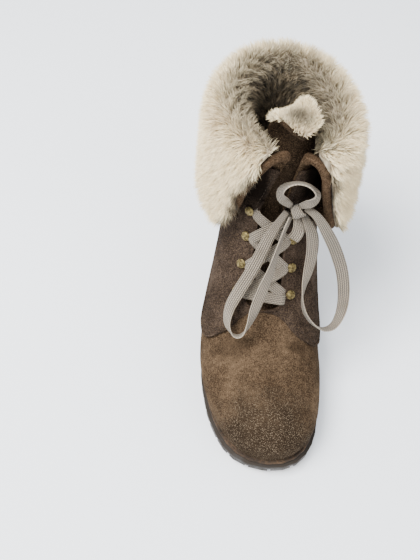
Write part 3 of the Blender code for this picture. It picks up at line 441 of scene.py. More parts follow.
def suede_finish(name, dark, light, wear_and_crease_shade, cuff_shade):
    """Brushed leather; the first share sets the toe scuffs and the painted crease shade, the second the painted shade
    under the cuff.
    """
    made, tree, shader, place = finish_of(name, 0.95, Specular_IOR_Level=0.02, Sheen_Weight=0.0)
    nap = grained(tree, place, 34.0, 1250.0, 1.5, dark, light)
    soft = remap(tree, noise(tree, place, 320.0, 4.0), 0.35, 0.7, 0.80, 1.16)
    grey = add(tree, "ShaderNodeCombineColor", {0: soft, 1: soft, 2: soft}).outputs[0]
    colour = mixed(tree, 1.0, nap["Colour"], grey, "MULTIPLY")
    fleck = noise(tree, place, 1500.0, 1.0)
    colour = mixed(tree, remap(tree, fleck, 0.55, 0.68, 0.0, 0.35), colour, (0.17, 0.115, 0.068))

    ragged = times(tree, maths(tree, "SUBTRACT", noise(tree, place, 60.0, 3.0), 0.5), 0.030)
    from_toe = maths(tree, "ADD", vector(tree, "DISTANCE", place, TOE), ragged)
    near_toe = times(tree, remap(tree, from_toe, 0.020, 0.052, 1.0, 0.0), wear_and_crease_shade)
    colour = mixed(tree, near_toe, colour, (0.019, 0.0125, 0.0080))
    cloud = remap(tree, noise(tree, place, 75.0), 0.15, 0.50, 0.35, 1.0)
    speck = times(tree, times(tree, remap(tree, fleck, 0.56, 0.66), cloud), near_toe)
    colour = mixed(tree, times(tree, speck, 0.9), colour, (0.19, 0.145, 0.098))
    # Painted shade: two soft dark patches over the folds stand in for crease shadow
    for centre, reach in CREASE_SHADES:
        away = vector(tree, "MULTIPLY", vector(tree, "SUBTRACT", place, centre), (1.0, 1.7, 0.6))
        crease_shade = remap(tree, vector(tree, "LENGTH", away), 0.4 * reach, reach, 0.55, 0.0)
        colour = mixed(tree, times(tree, crease_shade, wear_and_crease_shade), colour, (0.018, 0.011, 0.0065))

    # Painted shade: the shaft goes nearly black where the cuff hangs over it, away from the throat
    parts = split(tree, place)
    off = maths(tree, "ABSOLUTE", maths(tree, "SUBTRACT", parts["X"], THROAT_X))
    under = times(tree, remap(tree, parts["Z"], 0.134, 0.152), remap(tree, off, 0.009, 0.015))
    colour = mixed(tree, times(tree, under, cuff_shade), colour, (0.006, 0.004, 0.003))
    feed(tree, shader, colour, nap["Height"], 0.0003)
    return made


SUEDE = suede_finish("suede", (0.032, 0.0195, 0.0112), (0.110, 0.0715, 0.0420), 0.85, 0.9)
SUEDE_QUARTER = suede_finish("suede_quarter", (0.019, 0.0128, 0.0095), (0.068, 0.047, 0.034), 0.0, 0.9)
SUEDE_EDGE = suede_finish("suede_edge", (0.030, 0.018, 0.010), (0.090, 0.056, 0.033), 0.0, 0.0)
# A copy of the suede painted darker with shade, for the cuff's suede side, the tongue, the slot sides and the hem
# strip
SUEDE_IN_SHADE = suede_finish("suede_in_shade", (0.016, 0.010, 0.006), (0.045, 0.029, 0.018), 0.0, 0.0)
print("finishes:", SUEDE.name, SUEDE_EDGE.name, SUEDE_IN_SHADE.name)

# %% [markdown]
# ### Shearling
#
# The pile is cream at its tips, tan along the hair and grey-brown at the roots. Each hair carries two
# numbers: along, which rises from root to tip, and shade, its own chance value. A third number on the
# skin, deep, paints shade: it rises towards the inside of the collar and darkens the pile there.

# %% Shearling
def fur_finish(name, is_hair):
    """Pile in cream and tan: the hairs, or the matted pile below them."""
    made, tree, shader, place = finish_of(name, 0.9, Specular_IOR_Level=0.2, Sheen_Weight=0.1)

    def number(key):
        """One of the numbers that the pile carries."""
        return add(tree, "ShaderNodeAttribute", attribute_name=key).outputs["Fac"]

    tuft = noise(tree, place, 130.0, 4.0)
    if is_hair:
        rise = maths(tree, "ADD", number("along"), times(tree, maths(tree, "SUBTRACT", tuft, 0.5), 0.5))
        colour = mixed(tree, remap(tree, rise, 0.0, 0.65), (0.33, 0.255, 0.155), (0.97, 0.84, 0.56))
        clouds = remap(tree, noise(tree, place, 42.0), 0.48, 0.72, 0.0, 0.5)
        colour = mixed(tree, clouds, colour, (0.66, 0.53, 0.35))
        chance = remap(tree, number("shade"), 0.55, 1.0, 0.0, 0.42)
        colour = mixed(tree, chance, colour, (0.50, 0.38, 0.235))
    else:
        colour = mixed(tree, remap(tree, tuft, 0.3, 0.7), (0.20, 0.155, 0.10), (0.46, 0.39, 0.285))
    # Painted shade: where deep rises, the pile takes a dark brown
    pile_in_shade = mixed(tree, remap(tree, tuft, 0.35, 0.7), (0.058, 0.045, 0.028), (0.225, 0.174, 0.108))
    feed(tree, shader, mixed(tree, number("deep"), colour, pile_in_shade), None if is_hair else tuft, 0.002)
    return made


FUR = fur_finish("fur", True)
FUR_ROOTS = fur_finish("fur_roots", False)
print("finishes:", FUR.name, FUR_ROOTS.name)

# %% [markdown]
# ### Rubber, leather, braid and brass
#
# The sole is caramel rubber, a little dusty; its sides are darker than its tread. The heel is built
# of leather lifts 2.5 mm thick: each lift has its own brown, with a fine dark joint between. The
# studs are antiqued brass, dark where the polish doesn't reach. The braid takes its pattern from its
# own map: across the lace in X, along it in metres in Y.

# %% Rubber and leather
def rubber_finish(name, dark, light, roughness):
    """Moulded rubber with dust in its pores."""
    made, tree, shader, place = finish_of(name, roughness, Specular_IOR_Level=0.2)
    skin = grained(tree, place, 90.0, 1400.0, 0.35, dark, light)
    rough = remap(tree, skin["Patch"], 0.0, 1.0, roughness - 0.08, roughness + 0.12)
    feed(tree, shader, skin["Colour"], skin["Height"], 0.00006, rough)
    return made, tree, shader, place, skin


RUBBER, tree, shader, place, skin = rubber_finish("rubber", (0.20, 0.125, 0.068), (0.33, 0.22, 0.13), 0.55)
above_floor = remap(tree, split(tree, place)["Z"], 0.0005, 0.003)
facing = add(tree, "ShaderNodeNewGeometry").outputs["Normal"]
side = times(tree, above_floor, remap(tree, split(tree, facing)["Z"], -0.75, -0.35))
feed(tree, shader, mixed(tree, times(tree, side, 0.95), skin["Colour"], (0.0075, 0.0062, 0.0050)))
HEEL_RUBBER = rubber_finish("heel_rubber", (0.022, 0.021, 0.020), (0.060, 0.056, 0.052), 0.6)[0]


def leather_finish(name, dark, light, roughness):
    """Smooth leather with fine pores and a light polish."""
    made, tree, shader, place = finish_of(name, roughness, Specular_IOR_Level=0.2, Coat_Roughness=0.4)
    skin = grained(tree, place, 70.0, 1900.0, 0.4, dark, light)
    feed(tree, shader, skin["Colour"], skin["Height"], 0.00008)
    return made, tree, shader, place, skin


WELT = leather_finish("welt", (0.020, 0.012, 0.0065), (0.080, 0.046, 0.024), 0.6)[0]
HEEL_LEATHER, tree, shader, place, skin = leather_finish(
    "heel_leather", (0.080, 0.045, 0.022), (0.18, 0.108, 0.058), 0.5
)
LIFT = 0.0025
level = maths(tree, "DIVIDE", split(tree, place)["Z"], LIFT)
level = maths(tree, "ADD", level, times(tree, noise(tree, place, 60.0), 0.35))
joint = remap(tree, maths(tree, "PINGPONG", level, 0.5), 0.0, 0.085)
number = maths(tree, "FLOOR", level)
chance = add(tree, "ShaderNodeTexWhiteNoise", {"W": number}, noise_dimensions="1D").outputs["Value"]
lifts = mixed(tree, times(tree, chance, 0.5), skin["Colour"], (0.060, 0.033, 0.017))
feed(tree, shader, mixed(tree, joint, (0.035, 0.022, 0.014), lifts), joint, 0.0003)
INSOLE = leather_finish("insole", (0.17, 0.135, 0.095), (0.33, 0.27, 0.19), 0.85)[0]
THREAD = leather_finish("thread", (0.018, 0.012, 0.008), (0.050, 0.034, 0.021), 0.8)[0]
print("finishes:", [m.name for m in (RUBBER, HEEL_RUBBER, WELT, HEEL_LEATHER, INSOLE, THREAD)])

# %% Braid and brass
LACE, tree, shader, place = finish_of("lace", 0.9, Specular_IOR_Level=0.2, Sheen_Weight=0.15)
braid_map = add(tree, "ShaderNodeUVMap", uv_map="lace").outputs["UV"]
weave = add(tree, "ShaderNodeGroup", {"Place": braid_map, "Ribs": 6.0, "Pitch": 0.0021}, node_tree=braid).outputs
soil = remap(tree, noise(tree, place, 70.0, 3.0), 0.45, 0.75, 0.0, 0.5)
# Painted shade: the thread goes nearly black where the braid's Shade is low, in its valleys
thread = mixed(tree, weave["Shade"], (0.022, 0.016, 0.010), (0.41, 0.335, 0.245))
feed(tree, shader, mixed(tree, soil, thread, (0.145, 0.108, 0.072)), weave["Height"], 0.0013)

BRASS, tree, shader, place = finish_of("brass", 0.5, 0.85)
tarnish = noise(tree, place, 700.0, 3.0)
age = remap(tree, tarnish, 0.4, 0.65)
colour = mixed(tree, age, (0.23, 0.175, 0.068), (0.070, 0.050, 0.022))
feed(tree, shader, colour, tarnish, 0.0001, remap(tree, age, 0.0, 1.0, 0.42, 0.65))
print("finishes:", LACE.name, BRASS.name)

# %% [markdown]
# ## Copying a solid into a soft form
#
# The solids are faceted. For leather they are copied, their loose triangles merged and paired into
# quads, and subdivided. Edges sharper than 38 degrees get a crease, so a cut edge stays a cut edge but
# is eased like real leather. The solid itself is left as it is and only hidden.

# %% Soft copies
def triangles(piece):
    """The number of triangles in a piece."""
    return sum(len(p.vertices) - 2 for p in piece.data.polygons)


def finished(piece, material, slot, *replaced):
    """Give a piece its material and body, and hide the solids it stands for; slot is not used."""
    piece.data.materials.clear()
    piece.data.materials.append(material)
    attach(piece, "root")
    if replaced:
        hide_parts(*replaced)
    print(piece.name, "triangles:", triangles(piece))
    return piece


def applied(piece):
    """A piece with its modifiers put into its mesh, shaded smooth."""
    bpy.context.view_layer.update()
    mesh = bpy.data.meshes.new_from_object(piece.evaluated_get(bpy.context.evaluated_depsgraph_get()))
    piece.modifiers.clear()
    piece.data = mesh
    mesh.shade_smooth()
    return piece


def object_of(name, bm):
    """A new object in the scene from a bmesh."""
    mesh = bpy.data.meshes.new(name)
    bm.to_mesh(mesh)
    bm.free()
    made = bpy.data.objects.new(name, mesh)
    scene.collection.objects.link(made)
    return made


def merged(node, flat=22):
    """A bmesh copy of a solid with its doubles merged and its triangles paired."""
    bm = bmesh.new()
    bm.from_mesh(nodes[node].data)
    bmesh.ops.remove_doubles(bm, verts=bm.verts, dist=1e-5)
    bmesh.ops.join_triangles(
        bm, faces=bm.faces, angle_face_threshold=math.radians(flat), angle_shape_threshold=math.radians(50)
    )
    return bm


def soft_copy(name, node, levels=2, sharp=38, crease=0.75):
    """A subdivided copy of a solid, applied, with its cut edges eased."""
    bm = merged(node)
    layer = bm.edges.layers.float.new("crease_edge")
    for edge in bm.edges:
        if len(edge.link_faces) == 2 and edge.calc_face_angle(0) > math.radians(sharp):
            edge[layer] = crease
    made = object_of(name, bm)
    subdivide = made.modifiers.new("ease", "SUBSURF")
    subdivide.levels = subdivide.render_levels = levels
    return applied(made)


def triples(rows, key):
    """Three numbers for each point, as an array."""
    found = np.zeros(len(rows) * 3, np.float32)
    rows.foreach_get(key, found)
    return found.reshape(-1, 3).astype(float)


def points_of(mesh):
    """A mesh's points as an array."""
    return triples(mesh.vertices, "co")


def normals_of(mesh):
    """A mesh's point normals as an array."""
    return triples(mesh.vertex_normals, "vector")


def place_points(mesh, points):
    """Move a mesh's points."""
    mesh.vertices.foreach_set("co", points.astype(np.float32).ravel())
    mesh.update()


def carry(mesh, name, values):
    """Give each point of a mesh a number that its material reads."""
    mesh.attributes.new(name, "FLOAT", "POINT").data.foreach_set("value", values.astype(np.float32))


print("helpers ready")

# %% [markdown]
# ### Upper, quarters, cuff and tongue
#
# Where the foot bends, behind the toes, worn suede keeps a few soft folds. Each is placed one by one:
# a line across the vamp with a depth, a width and a lean, deepest at the middle of the foot. The
# folds move only the upper.

# %% Leather with its folds
FOLDS = [
    # x and y of the middle, lean of the line, depth and half width in metres, reach to each side
    (-0.024, 0.0120, -0.45, 0.0024, 0.0045, 0.024),
    (0.004, 0.0050, 0.10, 0.0009, 0.0040, 0.034),
    (0.000, -0.0080, -0.10, 0.0008, 0.0040, 0.034),
    (0.026, 0.0060, 0.35, 0.0014, 0.0040, 0.018),
]


def folded(points, normals):
    """Points of the vamp sunk along the folds."""
    depth = np.zeros(len(points))
    for x, y, lean, deep, half, reach in FOLDS:
        off = points[:, 1] - y - lean * (points[:, 0] - x)
        side = np.clip(1 - ((points[:, 0] - x) / reach) ** 2, 0, 1)
        depth += deep * side * np.exp(-((off / half) ** 2))
    up = np.clip(normals[:, 2] * 2, 0, 1)
    return points - np.array([0, 0, 1]) * (depth * up)[:, None]


upper = soft_copy("upper_suede", "upper")
place_points(upper.data, folded(points_of(upper.data), normals_of(upper.data)))
finished(upper, SUEDE, "suede", "upper")
for side_name in SIDES:
    quarter = soft_copy(f"quarter_{side_name}_suede", f"quarter_{side_name}", crease=0.55)
    finished(quarter, SUEDE_QUARTER, "suede", f"quarter_{side_name}")
# The cuff's suede side and the tongue take the suede painted with shade
finished(soft_copy("cuff_suede", "cuff", crease=0.5), SUEDE_IN_SHADE, "suede", "cuff")
finished(soft_copy("tongue_suede", "tongue", crease=0.4), SUEDE_IN_SHADE, "suede", "tongue")
finished(soft_copy("insole_board", "insole", 1), INSOLE, "insole", "insole")

# %% [markdown]
# ### Sole, welt and heel
#
# Rubber and stacked leather are moulded and ground, so their edges are crisp with only a small
# rounding. A copy of each solid gets a narrow bevel, which catches the light along every lug.

# %% Bottom
def crisp_copy(name, node, width, segments=2, sharp=35):
    """A copy of a solid with its sharp edges rounded by a narrow bevel."""
    bm = bmesh.new()
    bm.from_mesh(nodes[node].data)
    bmesh.ops.remove_doubles(bm, verts=bm.verts, dist=1e-5)
    bmesh.ops.dissolve_limit(bm, angle_limit=math.radians(0.6), verts=bm.verts, edges=bm.edges)
    made = object_of(name, bm)
    bevel = made.modifiers.new("edge", "BEVEL")
    bevel.width, bevel.segments, bevel.limit_method = width, segments, "ANGLE"
    bevel.angle_limit = math.radians(sharp)
    bevel.use_clamp_overlap = True
    applied(made).data.set_sharp_from_angle(angle=math.radians(38))
    return made


finished(crisp_copy("sole_rubber", "outsole", 0.0003), RUBBER, "rubber", "outsole")
finished(crisp_copy("welt_leather", "welt", 0.0005), WELT, "welt", "welt")
finished(crisp_copy("heel_lifts", "heel_stack", 0.0004), HEEL_LEATHER, "heel_leather", "heel_stack")
finished(crisp_copy("heel_rubber_lift", "heel_top_piece", 0.0008, 3), HEEL_RUBBER, "heel_rubber", "heel_top_piece")

# %% [markdown]
# ### The shearling cuff
#
# Real pile is thousands of curled hairs that stand together in tufts. A smooth body first takes the
# pile's place, sunk a little; Geometry Nodes then scatter hairs over it. A hair is a narrow strip of
# two quads, tapered and curled. Noise leans whole tufts one way, and gravity combs the pile down
# where the skin stands upright. No hair grows along the cuff's two front edges or in the throat, and
# the skin that shows there is painted dark with shade.

# %% Skin below the pile
CUFF_EDGES = {
    # The cuff's two front edges, in millimetres: from the seam over the fold and down to the hem
    "medial": [
        (15.0, 68.0, 191.5), (16.0, 66.4, 195.6), (19.0, 63.6, 196.8), (23.0, 61.8, 195.0), (25.4, 61.1, 190.0),
        (27.4, 62.4, 176.0), (30.0, 64.0, 162.0), (33.2, 65.6, 147.0), (36.6, 67.0, 134.0), (39.2, 68.0, 124.5),
    ],
    "lateral": [
        (3.6, 69.0, 191.5), (2.0, 66.6, 195.6), (-2.0, 63.8, 196.8), (-6.5, 62.2, 195.0), (-9.6, 61.6, 190.0),
        (-14.5, 62.0, 178.0), (-19.5, 62.6, 166.0), (-22.0, 64.4, 154.0), (-24.6, 66.4, 142.0), (-28.6, 68.0, 124.5),
    ],
}
edge_points = np.concatenate([eased(path, 6) for path in CUFF_EDGES.values()]) * MM

COLLAR = Vector((0.004, 0.121, 0.0))
# The throat ends at this y towards the back, and the tongue's pile starts at this height
THROAT_BACK, TONGUE_PILE = 0.080, 0.199
SUNK = 0.0022
body = soft_copy("pile_body", "cuff_fur", 1, sharp=75, crease=0.3)
points, normals = points_of(body.data), normals_of(body.data)
outward = points[:, :2] - np.array(COLLAR)[:2]
outward /= np.linalg.norm(outward, axis=1, keepdims=True)
facing_in = np.clip((0.45 - np.sum(outward * normals[:, :2], 1)) / 0.75, 0, 1)
collar_top = float(points[:, 2].max())
# deep is painted shade: it rises on faces turned into the collar, and further down inside it
deep = facing_in * np.clip(0.80 + (collar_top - 0.006 - points[:, 2]) / 0.035, 0, 1)
throat = (points[:, 1] < THROAT_BACK) & (np.abs(points[:, 0] - 0.012) < 0.014) & (points[:, 2] < TONGUE_PILE)
to_edge = np.linalg.norm(points[:, None] - edge_points[None], axis=2).min(1)
beside = (to_edge < 0.0095) & (points[:, 2] < 0.190)
place_points(body.data, points - normals * SUNK)
# Painted shade is full on the bare skin beside the cuff's front edges and in the throat
carry(body.data, "deep", np.where(throat | beside, 1.0, deep))
finished(body, FUR_ROOTS, "fur", "cuff_fur")
print("collar top in mm:", round(collar_top * 1000, 1))


# %% Tree: hairs on a skin
def geometry_tree(name, inputs):
    """A Geometry Nodes tree with named inputs; returns it with its input and output nodes."""
    mesh = ("Geometry", "NodeSocketGeometry")
    return group(name, [(*mesh, None), *inputs], [mesh], "GeometryNodeTree")


def stored(tree, geometry, name, value):
    """A geometry whose points carry a named number."""
    inputs = {"Geometry": geometry, "Name": name, "Value": value}
    return add(tree, "GeometryNodeStoreNamedAttribute", inputs, data_type="FLOAT", domain="POINT").outputs[0]


def planted(tree, points, shape, rotation, scale=(1.0, 1.0, 1.0)):
    """Copies of a shape on points, made real."""
    inputs = {"Points": points, "Instance": shape, "Rotation": rotation, "Scale": scale}
    copies = add(tree, "GeometryNodeInstanceOnPoints", inputs).outputs[0]
    return add(tree, "GeometryNodeRealizeInstances", {"Geometry": copies}).outputs[0]


def dressed(tree, start, end, geometry):
    """Give a tree's geometry its finish and pass it out."""
    inputs = {"Geometry": geometry, "Material": start.outputs["Finish"]}
    tree.links.new(add(tree, "GeometryNodeSetMaterial", inputs).outputs[0], end.inputs["Geometry"])
    print("tree:", tree.name, len(tree.nodes), "nodes")


INT, MATERIAL = "NodeSocketInt", "NodeSocketMaterial"
pile, start, end = geometry_tree(
    "pile",
    [("Density", FLOAT, 2.0e6), ("Length", FLOAT, 0.009), ("Width", FLOAT, 0.0006), ("Comb", FLOAT, 0.6),
     ("Tuft", FLOAT, 1.1), ("Curl", FLOAT, 0.35), ("Seed", INT, 1), ("Finish", MATERIAL, None)],
)
dial = start.outputs
spread = {"Mesh": dial["Geometry"], "Density": dial["Density"], "Seed": dial["Seed"]}
scatter = add(pile, "GeometryNodeDistributePointsOnFaces", spread).outputs
normal = scatter["Normal"]
drop, half = (0.0, 0.0, -1.0), (0.5, 0.5, 0.5)
facing = vector(pile, "DOT_PRODUCT", normal, drop)
comb = vector(pile, "SUBTRACT", drop, vector(pile, "SCALE", normal, scale=facing))
comb = vector(pile, "SCALE", comb, scale=dial["Comb"])
tufts = vector(pile, "SUBTRACT", noise(pile, None, 85.0, 1.0, output="Color"), half)
wisps = vector(pile, "SUBTRACT", noise(pile, None, 420.0, 1.0, output="Color"), half)
lean = vector(pile, "SCALE", vector(pile, "SCALE", tufts, scale=dial["Tuft"]), scale=1.5)
stray = vector(pile, "SCALE", wisps, scale=0.9)
way = vector(pile, "ADD", vector(pile, "ADD", normal, comb), vector(pile, "ADD", lean, stray))
upright = add(pile, "FunctionNodeAlignRotationToVector", {"Vector": way}, axis="Z").outputs[0]
spin = add(pile, "FunctionNodeRandomValue", {2: 0.0, 3: 6.28318, "Seed": 3}).outputs[1]
turn = add(pile, "FunctionNodeAxisAngleToRotation", {"Axis": (0.0, 0.0, 1.0), "Angle": spin}).outputs[0]
rotation = add(pile, "FunctionNodeRotateRotation", {0: upright, 1: turn}, rotation_space="LOCAL").outputs[0]
chance = add(pile, "FunctionNodeRandomValue", {2: 0.0, 3: 1.0, "Seed": 5}).outputs[1]
marked = stored(pile, scatter["Points"], "shade", chance)

strip = add(pile, "GeometryNodeMeshGrid", {"Size X": 1.0, "Size Y": 1.0, "Vertices X": 2, "Vertices Y": 3})
spot = split(pile, add(pile, "GeometryNodeInputPosition").outputs[0])
rise = maths(pile, "ADD", spot["Y"], 0.5)
square = maths(pile, "POWER", rise, 2.0)
taper = maths(pile, "SUBTRACT", 1.0, times(pile, square, 0.88))
curled = combined(pile, times(pile, spot["X"], taper), times(pile, square, dial["Curl"]), rise)
named = stored(pile, strip.outputs["Mesh"], "along", rise)
blade = add(pile, "GeometryNodeSetPosition", {"Geometry": named, "Position": curled}).outputs[0]
length = times(pile, dial["Length"], remap(pile, chance, 0.0, 1.0, 0.6, 1.15))
size = combined(pile, dial["Width"], length, length)
dressed(pile, start, end, planted(pile, marked, blade, rotation, size))


# %% Growing the pile
def grown(name, source, tree, **values):
    """A plain mesh from a tree that runs on a source mesh."""
    made = bpy.data.objects.new(name, source)
    scene.collection.objects.link(made)
    modifier = made.modifiers.new(tree.name, "NODES")
    modifier.node_group = tree
    for item in tree.interface.items_tree:
        if item.item_type == "SOCKET" and item.in_out == "INPUT" and item.name in values:
            modifier[item.identifier] = values[item.name]
    return applied(made)


def patch_of(mesh, keep):
    """A copy of the faces of a mesh that a test keeps, with the mesh's attributes."""
    bm = bmesh.new()
    bm.from_mesh(mesh)
    gone = [face for face in bm.faces if not keep(face.calc_center_median(), face.normal)]
    bmesh.ops.delete(bm, geom=gone, context="FACES")
    made = bpy.data.meshes.new("skin")
    bm.to_mesh(made)
    area = sum(face.calc_area() for face in bm.faces)
    bm.free()
    return made, area


def zone_of(centre, normal):
    """The piece of pile that a face of the cuff belongs to."""
    out = Vector((centre.x - COLLAR.x, centre.y - COLLAR.y, 0)).normalized()
    if out.dot(normal) < INWARD:
        return "pile_inner"
    side_name = "medial" if centre.x >= COLLAR.x else "lateral"
    return f"pile_{side_name}_" + ("high" if centre.z >= MIDDLE else "low")


def bare(centre):
    """Whether a place is bare of pile: along the cuff's front edges, and in the throat."""
    lower = min(max((0.190 - centre.z) / 0.025, 0), 1) if centre.x > COLLAR.x else 0.0
    near = np.linalg.norm(edge_points - np.array(centre), axis=1).min() < EDGE_GAP + EDGE_GAP_LOW * lower
    return near or (centre.y < THROAT_BACK and abs(centre.x - 0.011) < 0.016 and centre.z < TONGUE_PILE)


HAIRS = 36000
MIDDLE = 0.163
INWARD = -0.15
EDGE_GAP, EDGE_GAP_LOW = 0.0062, 0.0020
zones = ("pile_medial_high", "pile_medial_low", "pile_lateral_high", "pile_lateral_low", "pile_inner")
for seed, name in enumerate(zones, 11):
    skin, area = patch_of(body.data, lambda c, n: zone_of(c, n) == name and not bare(c))
    inner = name == "pile_inner"
    hair = grown(
        name, skin, pile, Density=HAIRS / area, Length=0.0060 if inner else 0.0076, Width=0.00046,
        Comb=0.25 if inner else 0.95, Tuft=0.8, Curl=0.30, Seed=seed, Finish=FUR,
    )
    finished(hair, FUR, "fur")
    print("  area in cm2:", round(area * 1e4), "hairs:", HAIRS)

# %% [markdown]
# ## The lace
#
# The lace is a flat tube of braid, about 9 mm wide and 1.5 mm thick. A band is lofted along its
# route with a soft rounded section, and gets its own map, so that the ribs run along it however it
# twists. Seven crossings lie over the tongue; their height is measured on the laced solid.

# %% A band of braid
def band(name, points, across, share, width=LACE_WIDTH, thick=LACE_THICKNESS):
    """A flat strap along a path, with a map: across it in X, along it in metres in Y."""
    along = unit(np.gradient(points, axis=0))
    normal = unit(np.cross(across, along))
    side = np.linspace(-1, 1, 13)
    swell = 0.5 * thick * (1 - 0.65 * np.abs(side) ** 6)
    place = np.concatenate([side, side[::-1]])
    lift = np.concatenate([swell, -swell[::-1]])
    bm = bmesh.new()
    layer = bm.loops.layers.uv.new("lace")
    rings = []
    for p, a, n, open_share in zip(points, across, normal, share):
        ring = p + np.outer(place * width * open_share / 2, a) + np.outer(lift * (1.5 - 0.5 * open_share), n)
        rings.append([bm.verts.new(q) for q in ring])
    run, count = run_of(points), len(place)
    for i in range(len(points) - 1):
        for j in range(count):
            k = (j + 1) % count
            face = bm.faces.new((rings[i][j], rings[i][k], rings[i + 1][k], rings[i + 1][j]))
            marks = ((j, i), (k, i), (k, i + 1), (j, i + 1))
            for loop, (m, r) in zip(face.loops, marks):
                loop[layer].uv = ((place[m] + 1) / 2, run[r])
    bm.faces.new(rings[0][::-1])
    bm.faces.new(rings[-1])
    bmesh.ops.recalc_face_normals(bm, faces=bm.faces)
    made = object_of(name, bm)
    made.data.shade_smooth()
    return made


bow = {}
for name, route in routes.items():
    points = route[:, :3] * MM
    bow[name] = band(name + "_braid", points, rolled(points, route[:, 3]), route[:, 4])
    finished(bow[name], LACE, "lace", name)

# %% The knot
KNOT = np.array([0.0150, 0.0605, 0.1495])
KNOT_AXIS = unit(np.array([0.80, 0.10, 0.45]))
first = unit(np.cross(KNOT_AXIS, BOOT_FRONT))
second = np.cross(KNOT_AXIS, first)
angles = np.linspace(0, 2 * math.pi * 1.12, 40)
radius = 0.0036 + 0.0006 * angles / angles[-1]
wrap = KNOT + (first * (np.cos(angles) * radius)[:, None] + second * (np.sin(angles) * radius * 0.9)[:, None])
wrap += KNOT_AXIS * (0.0016 * (angles / angles[-1] - 0.5))[:, None]
sides = np.repeat(KNOT_AXIS[None, :], len(wrap), 0)
knot = band("lace_knot_braid", wrap, sides, 0.78 + 0.1 * np.cos(angles))
finished(knot, LACE, "lace", "lace_knot")

loop_facts = {"lace_loop_medial": "knot", "lace_loop_lateral": "knot", "lace_curl": "knot"}
for name, far_end in loop_facts.items():
    points = routes[name][:, :3] * MM
print("free lace in mm:", {n: round(1000 * float(run_of(routes[n][:, :3] * MM)[-1])) for n in loop_facts})

# %% [markdown]
# ### Studs and crossings
#
# Each row has a flat brass stud a side. Beside it the lace comes up through a slot in the quarter.
# The studs are one shape repeated, a low dome in a thin ring, so a tree plants them on their places
# with their own directions.

# %% Studs
def surface(node_names):
    """A search tree over the faces of several solids."""
    points, faces = [], []
    for node_name in node_names:
        mesh = nodes[node_name].data
        start_at = len(points)
        points += [v.co.copy() for v in mesh.vertices]
        faces += [[start_at + i for i in p.vertices] for p in mesh.polygons]
    return BVHTree.FromPolygons(points, faces)


def down_row(side_name):
    """The direction down a row of studs."""
    return (studs[side_name, 1][0] - studs[side_name, 2][0]).normalized()


def circle(tree, corners, radius):
    """A round curve."""
    return add(tree, "GeometryNodeCurvePrimitiveCircle", {"Resolution": corners, "Radius": radius}).outputs[0]


UPPER_SKIN = surface(["upper"])
QUARTER_SKIN = surface(["quarter_medial", "quarter_lateral"])
studs = {}
for side_name in SIDES:
    for k in range(1, 5):
        low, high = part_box(f"rivet_{side_name}_{k}")
        middle = (low + high) / 2
        base = UPPER_SKIN.find_nearest(middle)[0]
        studs[side_name, k] = (middle, (middle - base).normalized())

brads, start, end = geometry_tree(
    "studs", [("Radius", FLOAT, 0.0031), ("Dome", FLOAT, 0.0011), ("Ring", FLOAT, 0.00050), ("Finish", MATERIAL, None)]
)
dial = start.outputs
axis = add(brads, "GeometryNodeInputNamedAttribute", {"Name": "axis"}, data_type="FLOAT_VECTOR").outputs[0]
stand = add(brads, "FunctionNodeAlignRotationToVector", {"Vector": axis}, axis="Z").outputs[0]
ball = add(brads, "GeometryNodeMeshUVSphere", {"Segments": 20, "Rings": 10, "Radius": 1.0}).outputs["Mesh"]
flat = combined(brads, dial["Radius"], dial["Radius"], dial["Dome"])
dome = add(brads, "GeometryNodeTransform", {"Geometry": ball, "Scale": flat}).outputs[0]
hoop = {"Curve": circle(brads, 24, dial["Radius"]), "Profile Curve": circle(brads, 8, dial["Ring"])}
pair = add(brads, "GeometryNodeJoinGeometry")
for part in (dome, add(brads, "GeometryNodeCurveToMesh", hoop).outputs[0]):
    brads.links.new(part, pair.inputs[0])
real = planted(brads, dial["Geometry"], pair.outputs[0], stand)
dressed(brads, start, end, add(brads, "GeometryNodeSetShadeSmooth", {"Geometry": real}).outputs[0])

seats = bpy.data.meshes.new("stud_seats")
seats.from_pydata([tuple(place) for place, _ in studs.values()], [], [])
layer = seats.attributes.new("axis", "FLOAT_VECTOR", "POINT")
layer.data.foreach_set("vector", np.array([tuple(way) for _, way in studs.values()], np.float32).ravel())
brass = grown("studs_brass", seats, brads, Finish=BRASS)
finished(brass, BRASS, "brass", *[f"rivet_{s}_{k}" for s, k in studs])

# %% Crossings of the lace
LACED = surface(["lace_bars"])
MOUTH = 0.0068


def lace_mouth(side_name, k, drop=0.0):
    """Where the lace comes out of its slot: beside the stud, towards the throat."""
    middle, normal = studs[side_name, k]
    other = studs["lateral" if side_name == "medial" else "medial", k][0]
    return middle + (other - middle).normalized() * MOUTH + down_row(side_name) * drop, normal


# Metres that a crossing lies inside the laced solid, gives way where two cross, and dives at its ends
SINK, GIVE, DIVE = 0.0008, 0.0007, 0.0030


def crossing(name, start_at, end_at, layer):
    """A lace between two slots, at the laced solid's height; layer is -1 for the one below, 1 for the one on top."""
    (a, normal_a), (b, normal_b) = start_at, end_at
    shares = np.linspace(-0.10, 1.10, 25)
    ways = unit(np.outer(1 - shares, normal_a) + np.outer(shares, normal_b))
    line = np.outer(1 - shares, a) + np.outer(shares, b)
    heights = []
    for share, way, place in zip(shares, ways, line):
        hit = LACED.ray_cast(Vector(place + way * 0.03), Vector(-way), 0.05)
        if hit[0] is not None and 0.02 < share < 0.98:
            heights.append((share, float(np.dot(np.array(hit[0]) - place, way))))
    fit = np.polyfit(*np.array(heights).T, 2)
    lift = np.polyval(fit, shares) - SINK + layer * GIVE * np.sin(np.pi * np.clip(shares, 0, 1))
    lift -= DIVE * np.clip((np.abs(shares - 0.5) * 2 - 0.84) / 0.36, 0, 1) ** 1.5
    points = line + ways * lift[:, None]
    across = unit(np.cross(ways, unit(np.gradient(points, axis=0))))
    return band(name, points, across, np.ones(len(points)), 0.0080, 0.0013)


